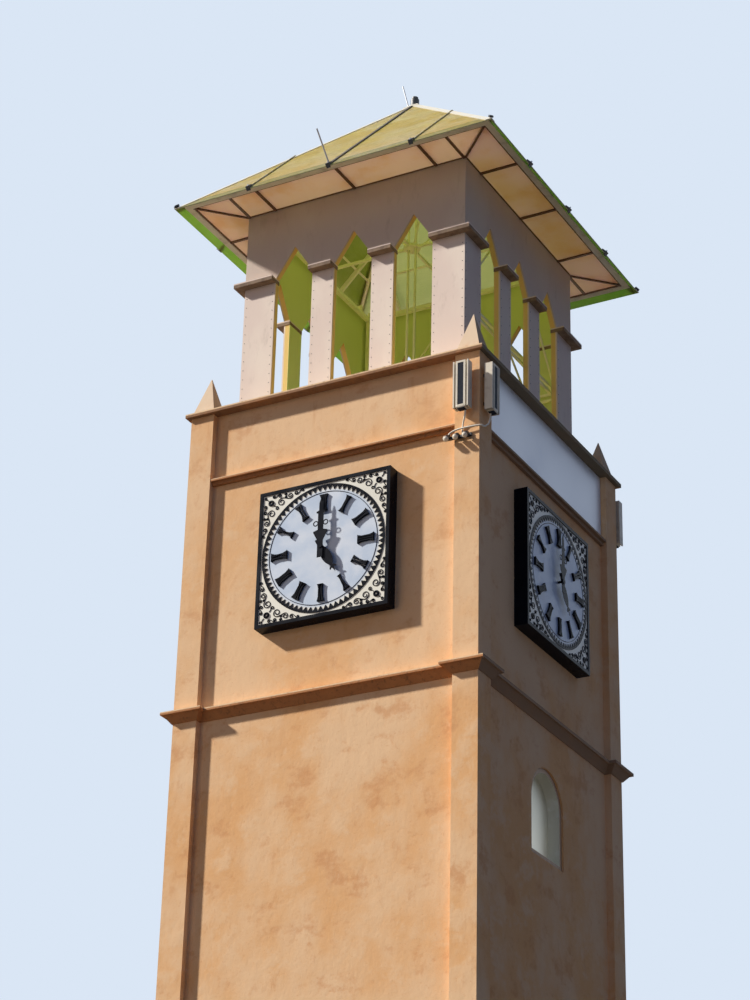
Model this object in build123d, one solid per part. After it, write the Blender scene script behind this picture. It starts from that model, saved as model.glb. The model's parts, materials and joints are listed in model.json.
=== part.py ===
from build123d import *
import math
import os

# Clock tower, in millimetres. +Z is up, the origin is at the middle of its footprint on the ground.
# The front looks along -Y, the right side along +X. Each face is made as the front one and turned.
# Heights on the shaft are measured down from the belfry floor, those of the belfry up from it.

# Shaft
shaft_w = 4100            # over the corner columns
shaft_h = 16910           # from the ground to the belfry floor
column_w = 330
recess = 90               # the wall panels lie this far behind the faces of the columns
wall_t = 230
plinth_h = 900
plinth_out = 240          # past the column faces
plinth_slope_h = 80
half = shaft_w / 2
wall_face = half - recess
wall_back = wall_face - wall_t
column_in = half - column_w
column_mid = half - column_w / 2

# Mid cornice: a thin lip over a splayed bed mould
cornice_down = 4110       # to the middle of the lip
cornice_out = 118
cornice_lip_h = 38
cornice_bed_h = 96
cornice_nib = 14          # how far the bed mould stands out at its foot
cornice_z = shaft_h - cornice_down

# Upper strings, between the columns
string_down = 1010        # to the underside of the lip
string_out = 85
string_lip_h = 30
string_bed_out = 45
string_bed_h = 45
string_z = shaft_h - string_down

# Belfry floor, whose lip is the top cornice
floor_z = shaft_h         # top
floor_lip_h = 52
floor_out = 60
floor_core_h = 150
frieze_t = 16
frieze_margin = 8

# Corner pinnacles
pinnacle_w = 300
pinnacle_block_h = 40
pinnacle_h = 570
pinnacle_tip_w = 8

# Arched windows in the right and left walls
window_w = 900
window_h = 1150
window_down = 620         # from the mid cornice to the crown
lining_t = 60
lining_depth = 190
lining_back = 25          # behind the wall face
pane_t = 12
pane_back = 150           # behind the face of the lining
window_crown_z = cornice_z - window_down
window_sill_z = window_crown_z - window_h

# Belfry walls: boards on a hidden frame
belfry_back = 430         # behind the faces of the columns
belfry_h = 3127           # from the floor to the underside of the eaves soffit
belfry_t = 90
corner_w = 460
pier_w = 320
cap_up = 2050             # top of the caps, where the arches spring
cap_h = 66
cap_out = 112
cap_side = 8              # past the edges of the openings
arch_rise = 420
soffit_t = 12
belfry = half - belfry_back
belfry_in = belfry - belfry_t
bay_w = (2 * (belfry - corner_w - pier_w)) / 3
soffit_z = floor_z + belfry_h
cap_z = floor_z + cap_up
pier_z = cap_z - cap_h
corner_in = belfry - corner_w
bay_pitch = bay_w + pier_w
arch_half = bay_w / 2 - cap_side

# Roof
eave_out = 721            # past the belfry walls
eave_drop = 80            # from the soffit to the edge of the sheets
roof_h = 2433             # from the edge of the sheets to their apex
sheet_t = 12
rib_in = 1141             # from the corner of the eave to the outer rib
rib_w = 42                # of the middle rib of a slope
side_rib_w = 16
rib_h = 18
clamp_w = 58
clamp_len = 80
clamp_h = 32
clamp_lip = 10
hip_cap_w = 84
hip_cap_t = 8
apex_block_w = 240
fascia_back = 88          # behind the edge of the sheets
fascia_w = 88             # a wide edge board, bevelled under the sheets
fascia_drop = 22          # below the soffit
seat_gap = 0.3            # where a piece only leans on its neighbour
batten_w = 34
hip_batten_w = 22
batten_t = 20
frame_back = 30           # from the fascia to the ends of joists and rafters
eave = belfry + eave_out
eave_z = soffit_z - eave_drop
apex_z = eave_z + roof_h
slope_len = math.hypot(roof_h, eave)
pitch = roof_h / eave
per_plan = slope_len / eave      # length up the slope for each millimetre in plan
rib_pitch = eave - rib_in
fascia_out = eave - fascia_back
fascia_in = fascia_out - fascia_w
frame_out = fascia_in - frame_back
sheet_drop = sheet_t * per_plan
fascia_low = soffit_z - fascia_drop

# Steel inside the belfry
post_w = 56
post_gap = 40             # from the walls to the posts
ring_h = 60
ring_w = 56
tie_w = 36
tie_h = 36
joist_w = 40
joist_h = 80
rafter_w = 34
rafter_h = 70
purlin_w = 30
purlin_h = 40
purlin_count = 2
mast_w = 26
mast_pitch = 110
hub_w = 220               # across the flats
hub_h = 40
head_h = 120
brace_w = 22
strut_w = 24
strut_out = 930           # in plan, to where a strut meets its hip rafter
rail_up = 1120            # lower of a pair of rails
rail_gap = 90
rail_w = 32
post_at = belfry_in - post_gap - post_w / 2
rail_z = floor_z + rail_up
ring_top = soffit_z + soffit_t
ring_z = ring_top - ring_h
ring_mid = ring_z + ring_h / 2
post_in = post_at - post_w / 2
ring_in = post_at - ring_w / 2
head_top = apex_z - hub_w / 2 * pitch * math.sqrt(2) - sheet_drop - seat_gap
mast_top = head_top - head_h

# Top gear
beacon_r = 60
beacon_h = 108
beacon_cap_h = 38
beacon_cap_r = 46
beacon_sides = 24
rod_r = 10
rod_x = -85
rod_len = 470
rod_lean = 14
rod_sides = 8
eave_rod_len = 460
eave_rod_r = 11
eave_rod_up = 45          # up the slope from the eave

# Clocks
clock_w = 1816
clock_down = 2315         # from the belfry floor to the centre
clock_out = 92            # past the column faces
clock_rim = 46
clock_recess = 12
dial_t = 6
dial_ledge = 12
case_back_t = 15
drive_w = 300
pipe_r = 16
arbor_r = 10
run_gap = 0.1
hand_t = 5
hour_gap = 52             # from the dial to the hour hand
hand_gap = 11             # from the hour hand to the minute hand
pipe_depth = 66           # behind the dial's face
arbor_depth = 96
shaft_end = 3             # the shafts stop short of the ends of their bores
boss_r = 34
boss_h = 9
rest_hour = 5

# Minute hand, along its length from the pivot
minute_len = 645
minute_tail = 155
minute_w = 76             # of the tail and the stem
minute_neck_w = 52        # above the cross bar
wing_w = 196
wing_at = 180
wing_h = 16
wing_slope = 18
cross_w = 124
cross_at = 440
cross_h = 16
scroll_at = 300
scroll_out = 68
scroll_r = 37
scroll_t = 13
scroll_sides = 12

# Hour hand
hour_len = 430
hour_tail = 110
hour_w = 64
leaf_w = 132
leaf_at = 165
leaf_end = 320
moon_w = 96
moon_drop = 36
moon_t = 20
clock_z = shaft_h - clock_down
dial_face = half + clock_out - clock_recess

# Column loudspeakers
speaker_w = 205           # over the cheeks of the housing
speaker_d = 105
speaker_h = 630
speaker_down = 550        # from the belfry floor to the middle
speaker_gap = 50
cheek_t = 18
cheek_gap = 20            # from a cheek to the column of loudspeakers between them
housing_t = 22            # back of the housing
grille_side = 25          # from the grille to the edges of the column
grille_t = 8
grille_back = 3           # behind the front of the column
speaker_shift = (-15, 30, 90, -15)   # on each face, outwards from the middle of the column
bracket_w = 60
bracket_t = 6
bracket_inset = 120
speaker_z = shaft_h - speaker_down

# Small lamps beside the front right column, and the leads of the loudspeakers
lamp_r = 38
lamp_len = 75
lamp_sides = 12
lamp_pitch = 125
lamp_tilt = 35            # downwards
lamp_in = 62              # from the inner edge of the column to the middle lamp
lamp_down = 180           # from the underside of the string
lamp_bar_w = 350
lamp_bar_h = 40
lamp_bar_t = 24
lamp_arm = 24
lead_r = 11
lead_bend = 40
lead_drop = 85            # below the feet of the loudspeakers, before a lead turns
lead_in = 32              # from the middle and from the back of a loudspeaker to its lead
lead_turn = 100           # height over which a lead moves towards the wall
run_out = 45              # from the columns to the lead that goes round the corner
run_up = 90               # from the middle of the lamp bar to that lead
lead_shift = 48           # from the middle lamp to the front lead
lead_sides = 6
lamp_x = column_in + lamp_in
lamp_z = string_z - lamp_down

faces = ["front", "right", "back", "left"]
window_faces = (1, 3)
braced_faces = (1, 2)         # the front and the left of the belfry are open


def block(x0, x1, y0, y1, z0, z1):
    """A box between two corners."""
    return Pos((x0 + x1) / 2, (y0 + y1) / 2, (z0 + z1) / 2) * Box(x1 - x0, y1 - y0, z1 - z0)


def turned(shape, k):
    """The front face's shape, turned to face k."""
    return Rot(0, 0, 90 * k) * shape


def all_round(shape):
    return [turned(shape, k) for k in range(4)]


def ring(side):
    """Four mitred sides as one piece."""
    return side + turned(side, 1) + turned(side, 2) + turned(side, 3)


def prism(points, z0, z1):
    """A prism over a plan outline."""
    return extrude(Pos(0, 0, z0) * make_face(Polyline(*points, close=True)), amount=z1 - z0)


def wall_prism(points, y0, y1):
    """A prism over an outline of (x, z) points, from y0 back to y1."""
    outline = [(x, y0, z) for x, z in points]
    return extrude(make_face(Polyline(*outline, close=True)), amount=y1 - y0, dir=(0, 1, 0))


def bar(start, end, w, h):
    """A bar of rectangular section between two points, its h side as upright as it goes."""
    a, b = Vector(*start), Vector(*end)
    run = b - a
    flat = Vector(0, 0, 1).cross(run)
    across = flat if flat.length > 1e-6 else Vector(1, 0, 0)
    plane = Plane(origin=a, x_dir=across, z_dir=run)
    return extrude(plane * Rectangle(w, h), amount=run.length)


def save(node, *shapes):
    """One STEP file, with each solid of the shapes in it."""
    solids = [solid for shape in shapes for solid in shape.solids()]
    whole = solids[0] if len(solids) == 1 else Compound(children=solids)
    export_step(whole, f"parts/{node}.step")


def shaft_outline(out):
    """The shaft's plan with its corner columns, moved outwards."""
    c, p, w = half + out, column_in - out, wall_face + out
    side = [(-c, -c), (-p, -c), (-p, -w), (p, -w), (p, -c)]
    points = []
    for k in range(4):
        for x, y in side:
            point = Vector(x, y, 0).rotate(Axis.Z, 90 * k)
            points.append((point.X, point.Y))
    return points


def make_plinth():
    foot = half + plinth_out
    top = half + cornice_nib
    shape = block(-foot, foot, -foot, foot, 0, plinth_h - plinth_slope_h)
    splay = math.degrees(math.atan2(foot - top, plinth_slope_h))
    low = Pos(0, 0, plinth_h - plinth_slope_h) * Rectangle(2 * foot, 2 * foot)
    shape += extrude(low, amount=plinth_slope_h, taper=splay)
    return shape - prism(shaft_outline(0), 0, plinth_h)


def make_column(sx, sy):
    x = sorted((sx * column_in, sx * half))
    y = sorted((sy * column_in, sy * half))
    return block(*x, *y, 0, floor_z - floor_lip_h)


def arch_face(w, sill, crown):
    """The outline of a round-headed opening, in the XZ plane."""
    r = w / 2
    spring = crown - r
    jambs = Polyline((-r, spring), (-r, sill), (r, sill), (r, spring))
    head = ThreePointArc((-r, spring), (0, crown), (r, spring))
    return Plane.XZ * make_face(jambs + head)


def arch_block(w, sill, crown, y0, y1):
    return extrude(Pos(0, y0, 0) * arch_face(w, sill, crown), amount=y1 - y0, dir=(0, 1, 0))


def make_wall(window):
    shape = block(-column_in, column_in, -wall_face, -wall_back, 0, floor_z - floor_lip_h)
    if window:
        shape -= arch_block(window_w, window_sill_z, window_crown_z, -wall_face - 1, -wall_back + 1)
    return shape


def make_lining():
    y0 = -wall_face + lining_back
    inner_w = window_w - 2 * lining_t
    outer = arch_block(window_w, window_sill_z, window_crown_z, y0, y0 + lining_depth)
    inner = arch_block(inner_w, window_sill_z + lining_t, window_crown_z - lining_t, y0 - 1, y0 + lining_depth + 1)
    return outer - inner


def make_pane():
    y0 = -wall_face + lining_back + pane_back
    w = window_w - 2 * lining_t
    return arch_block(w, window_sill_z + lining_t, window_crown_z - lining_t, y0, y0 + pane_t)


def make_mid_cornice():
    lip_z = cornice_z - cornice_lip_h / 2
    bed_z = lip_z - cornice_bed_h
    splay = math.degrees(math.atan2(cornice_out - 3 * cornice_nib, cornice_bed_h))
    shape = prism(shaft_outline(cornice_out), lip_z, lip_z + cornice_lip_h)
    columns = [(x, y, column_w / 2) for x in (-column_mid, column_mid) for y in (-column_mid, column_mid)]
    for x, y, side in columns + [(0, 0, wall_face)]:
        w = 2 * (side + cornice_out - 2 * cornice_nib)
        bed = extrude(Rectangle(w, w), amount=cornice_bed_h, taper=splay)
        shape += Pos(x, y, lip_z) * Rot(180, 0, 0) * bed
    return shape - prism(shaft_outline(0), bed_z, lip_z + cornice_lip_h)


def make_string():
    y = -wall_face
    lip = block(-column_in, column_in, y - string_out, y, string_z, string_z + string_lip_h)
    bed = block(-column_in, column_in, y - string_bed_out, y, string_z - string_bed_h, string_z)
    return lip + bed


def make_frieze():
    x = column_in - frieze_margin
    low = string_z + string_lip_h + frieze_margin
    high = floor_z - floor_lip_h - frieze_margin
    return block(-x, x, -wall_face - frieze_t, -wall_face, low, high)


def make_belfry_floor():
    lip = half + floor_out
    core = column_in
    shape = block(-lip, lip, -lip, lip, floor_z - floor_lip_h, floor_z)
    return shape + block(-core, core, -core, core, floor_z - floor_core_h, floor_z - floor_lip_h)


def make_pinnacle(sx, sy):
    block_top = floor_z + pinnacle_block_h
    spire = extrude(
        Rectangle(pinnacle_w, pinnacle_w),
        amount=pinnacle_h - pinnacle_block_h,
        taper=math.degrees(math.atan2((pinnacle_w - pinnacle_tip_w) / 2, pinnacle_h - pinnacle_block_h)),
    )
    foot = Box(pinnacle_w, pinnacle_w, pinnacle_block_h)
    shape = Pos(0, 0, block_top) * spire + Pos(0, 0, floor_z + pinnacle_block_h / 2) * foot
    return Pos(sx * column_mid, sy * column_mid, 0) * shape


def corner_angle(out, side, z0, z1):
    """An L-shaped corner piece: out past the wall faces, side past its ends towards the openings."""
    a, b, c = belfry + out, corner_in - side, belfry_in
    return prism([(a, -a), (a, -b), (c, -b), (c, -c), (b, -c), (b, -a)], z0, z1)


def pier_block(x, out, side, z0, z1):
    w = pier_w / 2 + side
    return block(x - w, x + w, -belfry - out, -belfry_in, z0, z1)


def make_head_wall(k):
    """Wall over the openings, its underside cut by the straight-sided pointed arches."""
    end = belfry if k % 2 == 0 else belfry_in
    points = [(-end, cap_z)]
    for x in (-bay_pitch, 0, bay_pitch):
        points += [(x - arch_half, cap_z), (x, cap_z + arch_rise), (x + arch_half, cap_z)]
    points += [(end, cap_z), (end, soffit_z + soffit_t), (-end, soffit_z + soffit_t)]
    return wall_prism(points, -belfry, -belfry_in)


# The front roof plane: x along the eave, y up the slope, z outwards
roof = Plane(origin=(0, -eave, eave_z), x_dir=(1, 0, 0), z_dir=(0, -roof_h, eave))
wedge = prism([(0, 0), (-2 * eave, -2 * eave), (2 * eave, -2 * eave)], eave_z - eave, apex_z + eave)
cap_half = apex_block_w / 2
apex_column = block(-cap_half, cap_half, -cap_half, cap_half, eave_z, apex_z + eave)
beacon_seat = apex_z + rib_h * per_plan - beacon_r * pitch
beacon_room = block(-cap_half, cap_half, -cap_half, cap_half, beacon_seat, apex_z + eave)


def roof_block(x0, x1, y0, y1, z0, z1):
    return roof.location * block(x0, x1, y0, y1, z0, z1)


def biggest(shape):
    return max(shape.solids(), key=lambda solid: solid.volume)


def make_sheet():
    return (roof_block(-eave, eave, 0, slope_len, -sheet_t, 0) & wedge) - beacon_room


def make_hip_cap():
    """Two flanges folded over the hip between the front and right slopes."""
    top = slope_len - slope_len * cap_half / eave / 2
    lean = eave / slope_len
    flange = make_face(Polyline(
        (eave - hip_cap_w, 0), (eave + hip_cap_w, 0),
        (eave + hip_cap_w - top * lean, top), (eave - hip_cap_w - top * lean, top), close=True,
    ))
    front = extrude(roof.location * flange, amount=hip_cap_t) & wedge
    side = front.mirror(Plane(origin=(0, 0, 0), z_dir=(1, 1, 0)))
    return (front + side) - apex_column


def make_ribs(hip_caps):
    ribs = []
    for x, w in ((-rib_pitch, side_rib_w), (0, rib_w), (rib_pitch, side_rib_w)):
        rib = roof_block(x - w / 2, x + w / 2, clamp_len, slope_len, 0, rib_h) & wedge
        rib -= apex_column
        for cap in hip_caps:
            rib -= cap
        ribs.append(biggest(rib))
    return ribs


def make_clamps():
    """A clamp grips the sheet's edge at the foot of each rib."""
    clamps = []
    for x in (-rib_pitch, 0, rib_pitch):
        x0, x1 = x - clamp_w / 2, x + clamp_w / 2
        top = roof_block(x0, x1, -clamp_lip, clamp_len, 0, clamp_h)
        lip = roof_block(x0, x1, -clamp_lip, 0, -clamp_h, 0)
        clamps.append(top + lip)
    return clamps


def make_apex_cap():
    """A folded cap over the ends of the ribs and hip trims, cut level for the beacon."""
    side = roof_block(-eave, eave, 0, slope_len + eave, 0, rib_h) & wedge
    cap = (side & apex_column) - beacon_room
    return ring(cap)


def make_fascia():
    """Front board of the eaves edge: its top follows the sheet, and its ends are mitred."""
    x = fascia_out
    board = block(-x, x, -x, -fascia_in, fascia_low, apex_z)
    under = roof_block(-2 * eave, 2 * eave, -eave, slope_len, -eave, -sheet_t - seat_gap)
    return board & under & prism([(0, 0), (-2 * x, -2 * x), (2 * x, -2 * x)], fascia_low, apex_z)


def make_soffit():
    plan = [(-fascia_in, -fascia_in), (fascia_in, -fascia_in), (belfry, -belfry), (-belfry, -belfry)]
    return prism(plan, soffit_z, soffit_z + soffit_t)


def make_battens(k):
    """Battens under the soffit of face k. The front and the back also have one in line with each side wall."""
    low = soffit_z - batten_t
    middle = low + batten_t / 2
    hip = bar((belfry, -belfry, middle), (fascia_in, -fascia_in, middle), hip_batten_w, batten_t)
    hip &= block(belfry, fascia_in, -fascia_in, -belfry, low, soffit_z)
    places = [-rib_pitch, 0, rib_pitch]
    if k % 2 == 0:
        places += [-belfry + batten_w / 2, belfry - batten_w / 2]
    cross = [block(x - batten_w / 2, x + batten_w / 2, -fascia_in, -belfry, low, soffit_z) for x in places]
    return [turned(batten, k) for batten in cross + [hip]]


def make_post():
    """The post in the front right corner."""
    return Pos(post_at, -post_at, (floor_z + ring_z) / 2) * Box(post_w, post_w, ring_z - floor_z)


def make_ring_beam():
    """Front beam of the ring on the posts, mitred at the corners."""
    a = post_at + ring_w / 2
    return prism([(-a, -a), (a, -a), (ring_in, -ring_in), (-ring_in, -ring_in)], ring_z, ring_top)


def make_rails():
    y0, y1 = -post_at - rail_w / 2, -post_at + rail_w / 2
    return [block(-post_in, post_in, y0, y1, z, z + rail_w) for z in (rail_z, rail_z + rail_gap)]


def make_vee(low, high):
    """Two braces from the feet of the posts at low to the middle of the bay at high."""
    y = -post_at
    room = block(-post_in, post_in, y - brace_w, y + brace_w, low, high)
    left = bar((-post_in, y, low), (0, y, high), brace_w, brace_w)
    right = bar((post_in, y, low), (0, y, high), brace_w, brace_w)
    return (left + right) & room


def make_mast():
    """Two square tubes side by side, from the floor to the head block under the apex."""
    tube = Pos(0, 0, (floor_z + mast_top) / 2) * Box(mast_w, mast_w, mast_top - floor_z)
    return [Pos(side * mast_pitch / 2, 0, 0) * tube for side in (-1, 1)]


def hub_prism(z, h):
    """An octagon with a flat towards each side and each corner."""
    plan = Rot(0, 0, 22.5) * RegularPolygon(hub_w / 2, 8, major_radius=False)
    return extrude(Pos(0, 0, z - h / 2) * plan, amount=h)


def make_hub():
    """A plate round the mast at the level of the ring, and the block that the rafters meet."""
    hub = hub_prism(ring_mid, hub_h)
    for side in (-1, 1):
        hub -= Pos(side * mast_pitch / 2, 0, ring_mid) * Box(mast_w + seat_gap, mast_w + seat_gap, 2 * hub_h)
    return [hub, hub_prism(mast_top + head_h / 2, head_h)]


def make_tie():
    """Level tie from the hub to the middle of the front ring beam."""
    tie = bar((0, 0, ring_mid), (0, -ring_in, ring_mid), tie_w, tie_h)
    return tie - hub_prism(ring_mid, 2 * ring_h)


def make_joists():
    """Level joists over the head wall, from the ring beam to near the fascia, and one to the corner."""
    top = ring_top + joist_h
    cross = [
        block(x - joist_w / 2, x + joist_w / 2, -frame_out, -ring_in, ring_top, top)
        for x in (-rib_pitch, 0, rib_pitch)
    ]
    middle = ring_top + joist_h / 2
    hip = bar((ring_in, -ring_in, middle), (fascia_out, -fascia_out, middle), joist_w, joist_h)
    return cross + [hip & block(0, frame_out, -frame_out, 0, ring_top, top)]


def make_hip_rafter():
    """Rafter under the hip between the front and right slopes, bevelled to both."""
    deep = rafter_h * per_plan
    tip = apex_z - sheet_drop
    foot = eave_z + (eave - frame_out) * pitch - sheet_drop
    points = [(0, tip), (frame_out, foot), (frame_out, foot - deep), (0, tip - deep)]
    side = make_face(Polyline(*[(x, -x, z) for x, z in points], close=True))
    shape = extrude(side, amount=rafter_w / 2, dir=(1, 1, 0), both=True)
    over = roof_block(-2 * eave, 2 * eave, -eave, slope_len + eave, -sheet_t, eave)
    return biggest(((shape & rafter_room) - over - turned(over, 1)) - head_room)


rafter_room = block(-frame_out, frame_out, -frame_out, frame_out, ring_top + joist_h, apex_z)
head_room = hub_prism(mast_top + head_h / 2, 4 * head_h)


def make_rafters(hips):
    """Common rafters under the front slope, from the joists to the hips or the head block."""
    shapes = []
    for x in (-rib_pitch, 0, rib_pitch):
        x0, x1 = x - rafter_w / 2, x + rafter_w / 2
        shape = roof_block(x0, x1, 0, slope_len, -sheet_t - rafter_h, -sheet_t) & wedge & rafter_room
        for hip in hips:
            shape -= hip
        shapes.append(biggest(shape - head_room))
    return shapes


def make_purlins(hips, rafters):
    """Level bars under the front sheet, cut between the rafters."""
    shapes = []
    for row in range(1, purlin_count + 1):
        up = slope_len * row / (purlin_count + 1)
        y0, y1 = up - purlin_w / 2, up + purlin_w / 2
        line = roof_block(-eave, eave, y0, y1, -sheet_t - purlin_h, -sheet_t) & wedge
        for other in hips + rafters:
            line -= other
        shapes += [solid for solid in line.solids() if solid.volume > purlin_w ** 3]
    return shapes


def make_strut(hips):
    """Strut from the hub up to the middle of the front right hip rafter."""
    near = hub_w / 2 * math.cos(math.radians(45)) - strut_w
    under = apex_z - strut_out * pitch - sheet_drop
    strut = bar((near, -near, ring_mid), (strut_out, -strut_out, under), strut_w, strut_w)
    strut &= block(0, eave, -eave, 0, ring_mid + hub_h / 2, apex_z)
    for hip in hips:
        strut -= hip
    over = roof_block(-2 * eave, 2 * eave, -eave, slope_len + eave, -sheet_t, eave)
    return biggest(strut - over - turned(over, 1))


def make_beacon():
    body = extrude(RegularPolygon(beacon_r, beacon_sides), amount=beacon_h)
    cap = Pos(0, 0, beacon_h) * extrude(RegularPolygon(beacon_cap_r, beacon_sides), amount=beacon_cap_h)
    return Pos(0, 0, beacon_seat) * (body + cap)


def make_apex_rod(apex_cap, sheet):
    """A thin rod beside the beacon, leaning out over the left slope."""
    foot = apex_z - abs(rod_x) * pitch
    rod = Pos(rod_x, 0, foot) * Rot(0, -rod_lean, 0) * extrude(RegularPolygon(rod_r, rod_sides), amount=rod_len)
    return biggest(rod - apex_cap - sheet)


def make_eave_rod():
    """A thin rod square to the slope, on its middle clamp."""
    rod = extrude(RegularPolygon(eave_rod_r, rod_sides), amount=eave_rod_len)
    return roof.location * (Pos(0, eave_rod_up, clamp_h) * rod)


# The front dial's plane: x to the right as seen from outside, y up, z outwards, 0 on the dial's face
dial = Plane(origin=(0, -dial_face, clock_z), x_dir=(1, 0, 0), z_dir=(0, -1, 0))


def disc(r, z0, z1):
    return Pos(0, 0, (z0 + z1) / 2) * Cylinder(r, z1 - z0)


def make_case():
    """A tray with a rim in front, a ledge for the dial, and a housing for the drive of the hands."""
    c = clock_w / 2
    inner = c - clock_rim
    back = -(dial_face - wall_face)
    shape = block(-c, c, -c, c, back, clock_recess)
    shape -= block(-inner, inner, -inner, inner, -dial_t, clock_recess)
    low = inner - dial_ledge
    shape -= block(-low, low, -low, low, back + case_back_t, -dial_t)
    d = drive_w / 2
    shape += block(-d, d, -d, d, back + case_back_t, -dial_t)
    shape -= disc(pipe_r + run_gap, -pipe_depth, -dial_t)
    shape -= disc(arbor_r + run_gap, -arbor_depth, -dial_t)
    return dial.location * shape


def make_dial():
    inner = clock_w / 2 - clock_rim
    plate = block(-inner, inner, -inner, inner, -dial_t, 0) - disc(pipe_r + run_gap, -dial_t, 0)
    return dial.location * plate


def hand_plate(side, tail, w, z0):
    """A flat hand along +Y, from the right side of its outline between the tail and the tip."""
    end = Line((-w / 2, -tail), (w / 2, -tail))
    outline = make_face(side + mirror(side, about=Plane.YZ) + end)
    return extrude(Pos(0, 0, z0) * outline, amount=hand_t)


def make_hour_hand():
    """A leaf blade with a moon below its tip, on the pipe of the drive."""
    z0, z1 = hour_gap, hour_gap + hand_t
    w, neck = hour_w / 2, hour_w / 4
    stem = Polyline((w, -hour_tail), (w, boss_r))
    blade = ThreePointArc((w, boss_r), (leaf_w / 2, leaf_at), (neck, leaf_end))
    moon = Polyline(
        (neck, leaf_end), (moon_w / 2, leaf_end + moon_drop), (moon_w / 2, leaf_end + moon_drop + moon_t),
        (neck, leaf_end + 2 * moon_t), (0, hour_len),
    )
    shape = Rot(0, 0, -30 * rest_hour) * hand_plate(stem + blade + moon, hour_tail, hour_w, z0)
    shape += disc(pipe_r, -pipe_depth + shaft_end, z0)
    return dial.location * (shape - disc(arbor_r + run_gap, -pipe_depth, z1))


def make_minute_hand():
    """A stem with wings, a pair of scrolls and a cross bar, on the arbor of the drive."""
    z0 = hour_gap + hand_t + hand_gap
    w, neck = minute_w / 2, minute_neck_w / 2
    side = Polyline(
        (w, -minute_tail), (w, 2 * boss_r), (wing_w / 2, wing_at), (wing_w / 2, wing_at + wing_h),
        (w, wing_at + wing_h + wing_slope), (w, cross_at - cross_h / 2), (cross_w / 2, cross_at),
        (cross_w / 2, cross_at + cross_h), (neck, cross_at + 2 * cross_h), (neck, minute_len - minute_w),
        (0, minute_len),
    )
    shape = hand_plate(side, minute_tail, minute_w, z0)
    outer, inner = RegularPolygon(scroll_r, scroll_sides), RegularPolygon(scroll_r - scroll_t, scroll_sides)
    for x in (-scroll_out, scroll_out):
        shape += extrude(Pos(x, scroll_at, z0) * (outer - inner), amount=hand_t)
    shape += disc(boss_r, z0 + hand_t, z0 + hand_t + boss_h) + disc(arbor_r, -arbor_depth + shaft_end, z0)
    return dial.location * shape


def wall_frame(k, across):
    """A frame on the columns of face k: x to the right as seen from outside, y up, z outwards."""
    front = Plane(origin=(across, -half, speaker_z), x_dir=(1, 0, 0), z_dir=(0, -1, 0))
    return Rot(0, 0, 90 * k) * front.location


def make_speaker():
    """A column of loudspeakers between the cheeks of its housing, and the grille in its front."""
    w, h = speaker_w / 2, speaker_h / 2
    front = speaker_gap + speaker_d
    column = w - cheek_t - cheek_gap
    body = block(-w, w, -h, h, speaker_gap, front)
    for side in (-1, 1):
        x = sorted((side * column, side * (w - cheek_t)))
        body -= block(*x, -h, h, speaker_gap + housing_t, front)
    g = column - grille_side
    grille = block(-g, g, -h + grille_side, h - grille_side, front - grille_back - grille_t, front - grille_back)
    return body - block(-g, g, -h + grille_side, h - grille_side, front - grille_back - grille_t, front), grille


def make_lamps():
    """Three small lamps on a bar across the front face of the front right column."""
    y = -half - lamp_bar_t
    shape = block(lamp_x - lamp_bar_w / 2, lamp_x + lamp_bar_w / 2, y, -half, lamp_z - lamp_bar_h / 2,
                  lamp_z + lamp_bar_h / 2)
    barrel = extrude(RegularPolygon(lamp_r, lamp_sides), amount=lamp_len)
    for x in (lamp_x - lamp_pitch, lamp_x, lamp_x + lamp_pitch):
        shape += Pos(x, y - lamp_arm, lamp_z) * Rot(90 + lamp_tilt, 0, 0) * barrel
        shape += block(x - lamp_bar_t / 2, x + lamp_bar_t / 2, y - 2 * lamp_arm, y, lamp_z - lamp_bar_t / 2,
                       lamp_z + lamp_bar_t / 2)
    return shape


def make_lead(*points):
    """A lead along a path with rounded turns."""
    path = FilletPolyline(*points, radius=lead_bend)
    section = Plane(origin=path @ 0, z_dir=path % 0) * RegularPolygon(lead_r, lead_sides)
    return sweep(section, path=path)


def make_short_lead(k, shift):
    """From the foot of the loudspeaker on face k into its column."""
    x, out = -column_mid - shift, half + speaker_gap + lead_in
    foot_z = speaker_z - speaker_h / 2
    drop_z = foot_z - lead_drop
    return turned(make_lead((x, -out, foot_z), (x, -out, drop_z), (x, -half, drop_z)), k)


def make_leads():
    """One lead from the front loudspeaker to the lamp bar, and one round the corner from the right one."""
    foot_z = speaker_z - speaker_h / 2
    drop_z = foot_z - lead_drop
    on_bar = -half - lamp_bar_t / 2
    run_z = lamp_z + run_up
    out = half + speaker_gap + lead_in
    front_x = column_mid + speaker_shift[0] + lead_in
    bar_x = lamp_x + lead_shift
    front = make_lead(
        (front_x, -out, foot_z), (front_x, -out, drop_z), (bar_x, on_bar, drop_z - lead_turn),
        (bar_x, on_bar, lamp_z + lamp_bar_h / 2),
    )
    right_y = -column_mid - speaker_shift[1]
    corner = half + run_out
    right = make_lead(
        (out, right_y, foot_z), (out, right_y, run_z + lead_turn), (corner, right_y - 2 * run_out, run_z),
        (corner, -corner, run_z), (lamp_x - lamp_pitch, -corner, run_z),
        (lamp_x - lamp_pitch, -corner, lamp_z + lamp_bar_t / 2),
    )
    return [front, right] + [make_short_lead(k, speaker_shift[k]) for k in (2, 3)]


def make_brackets():
    shapes = []
    for y in (-1, 1):
        middle = y * (speaker_h / 2 - bracket_inset)
        w, h = bracket_w / 2, bracket_w / 3
        y0, y1 = middle - h, middle + h
        foot = block(-w, w, y0, y1, 0, bracket_t)
        stem = block(-bracket_t, bracket_t, y0, y1, bracket_t, speaker_gap - bracket_t)
        head = block(-w, w, y0, y1, speaker_gap - bracket_t, speaker_gap)
        shapes.append(foot + stem + head)
    return shapes


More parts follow.
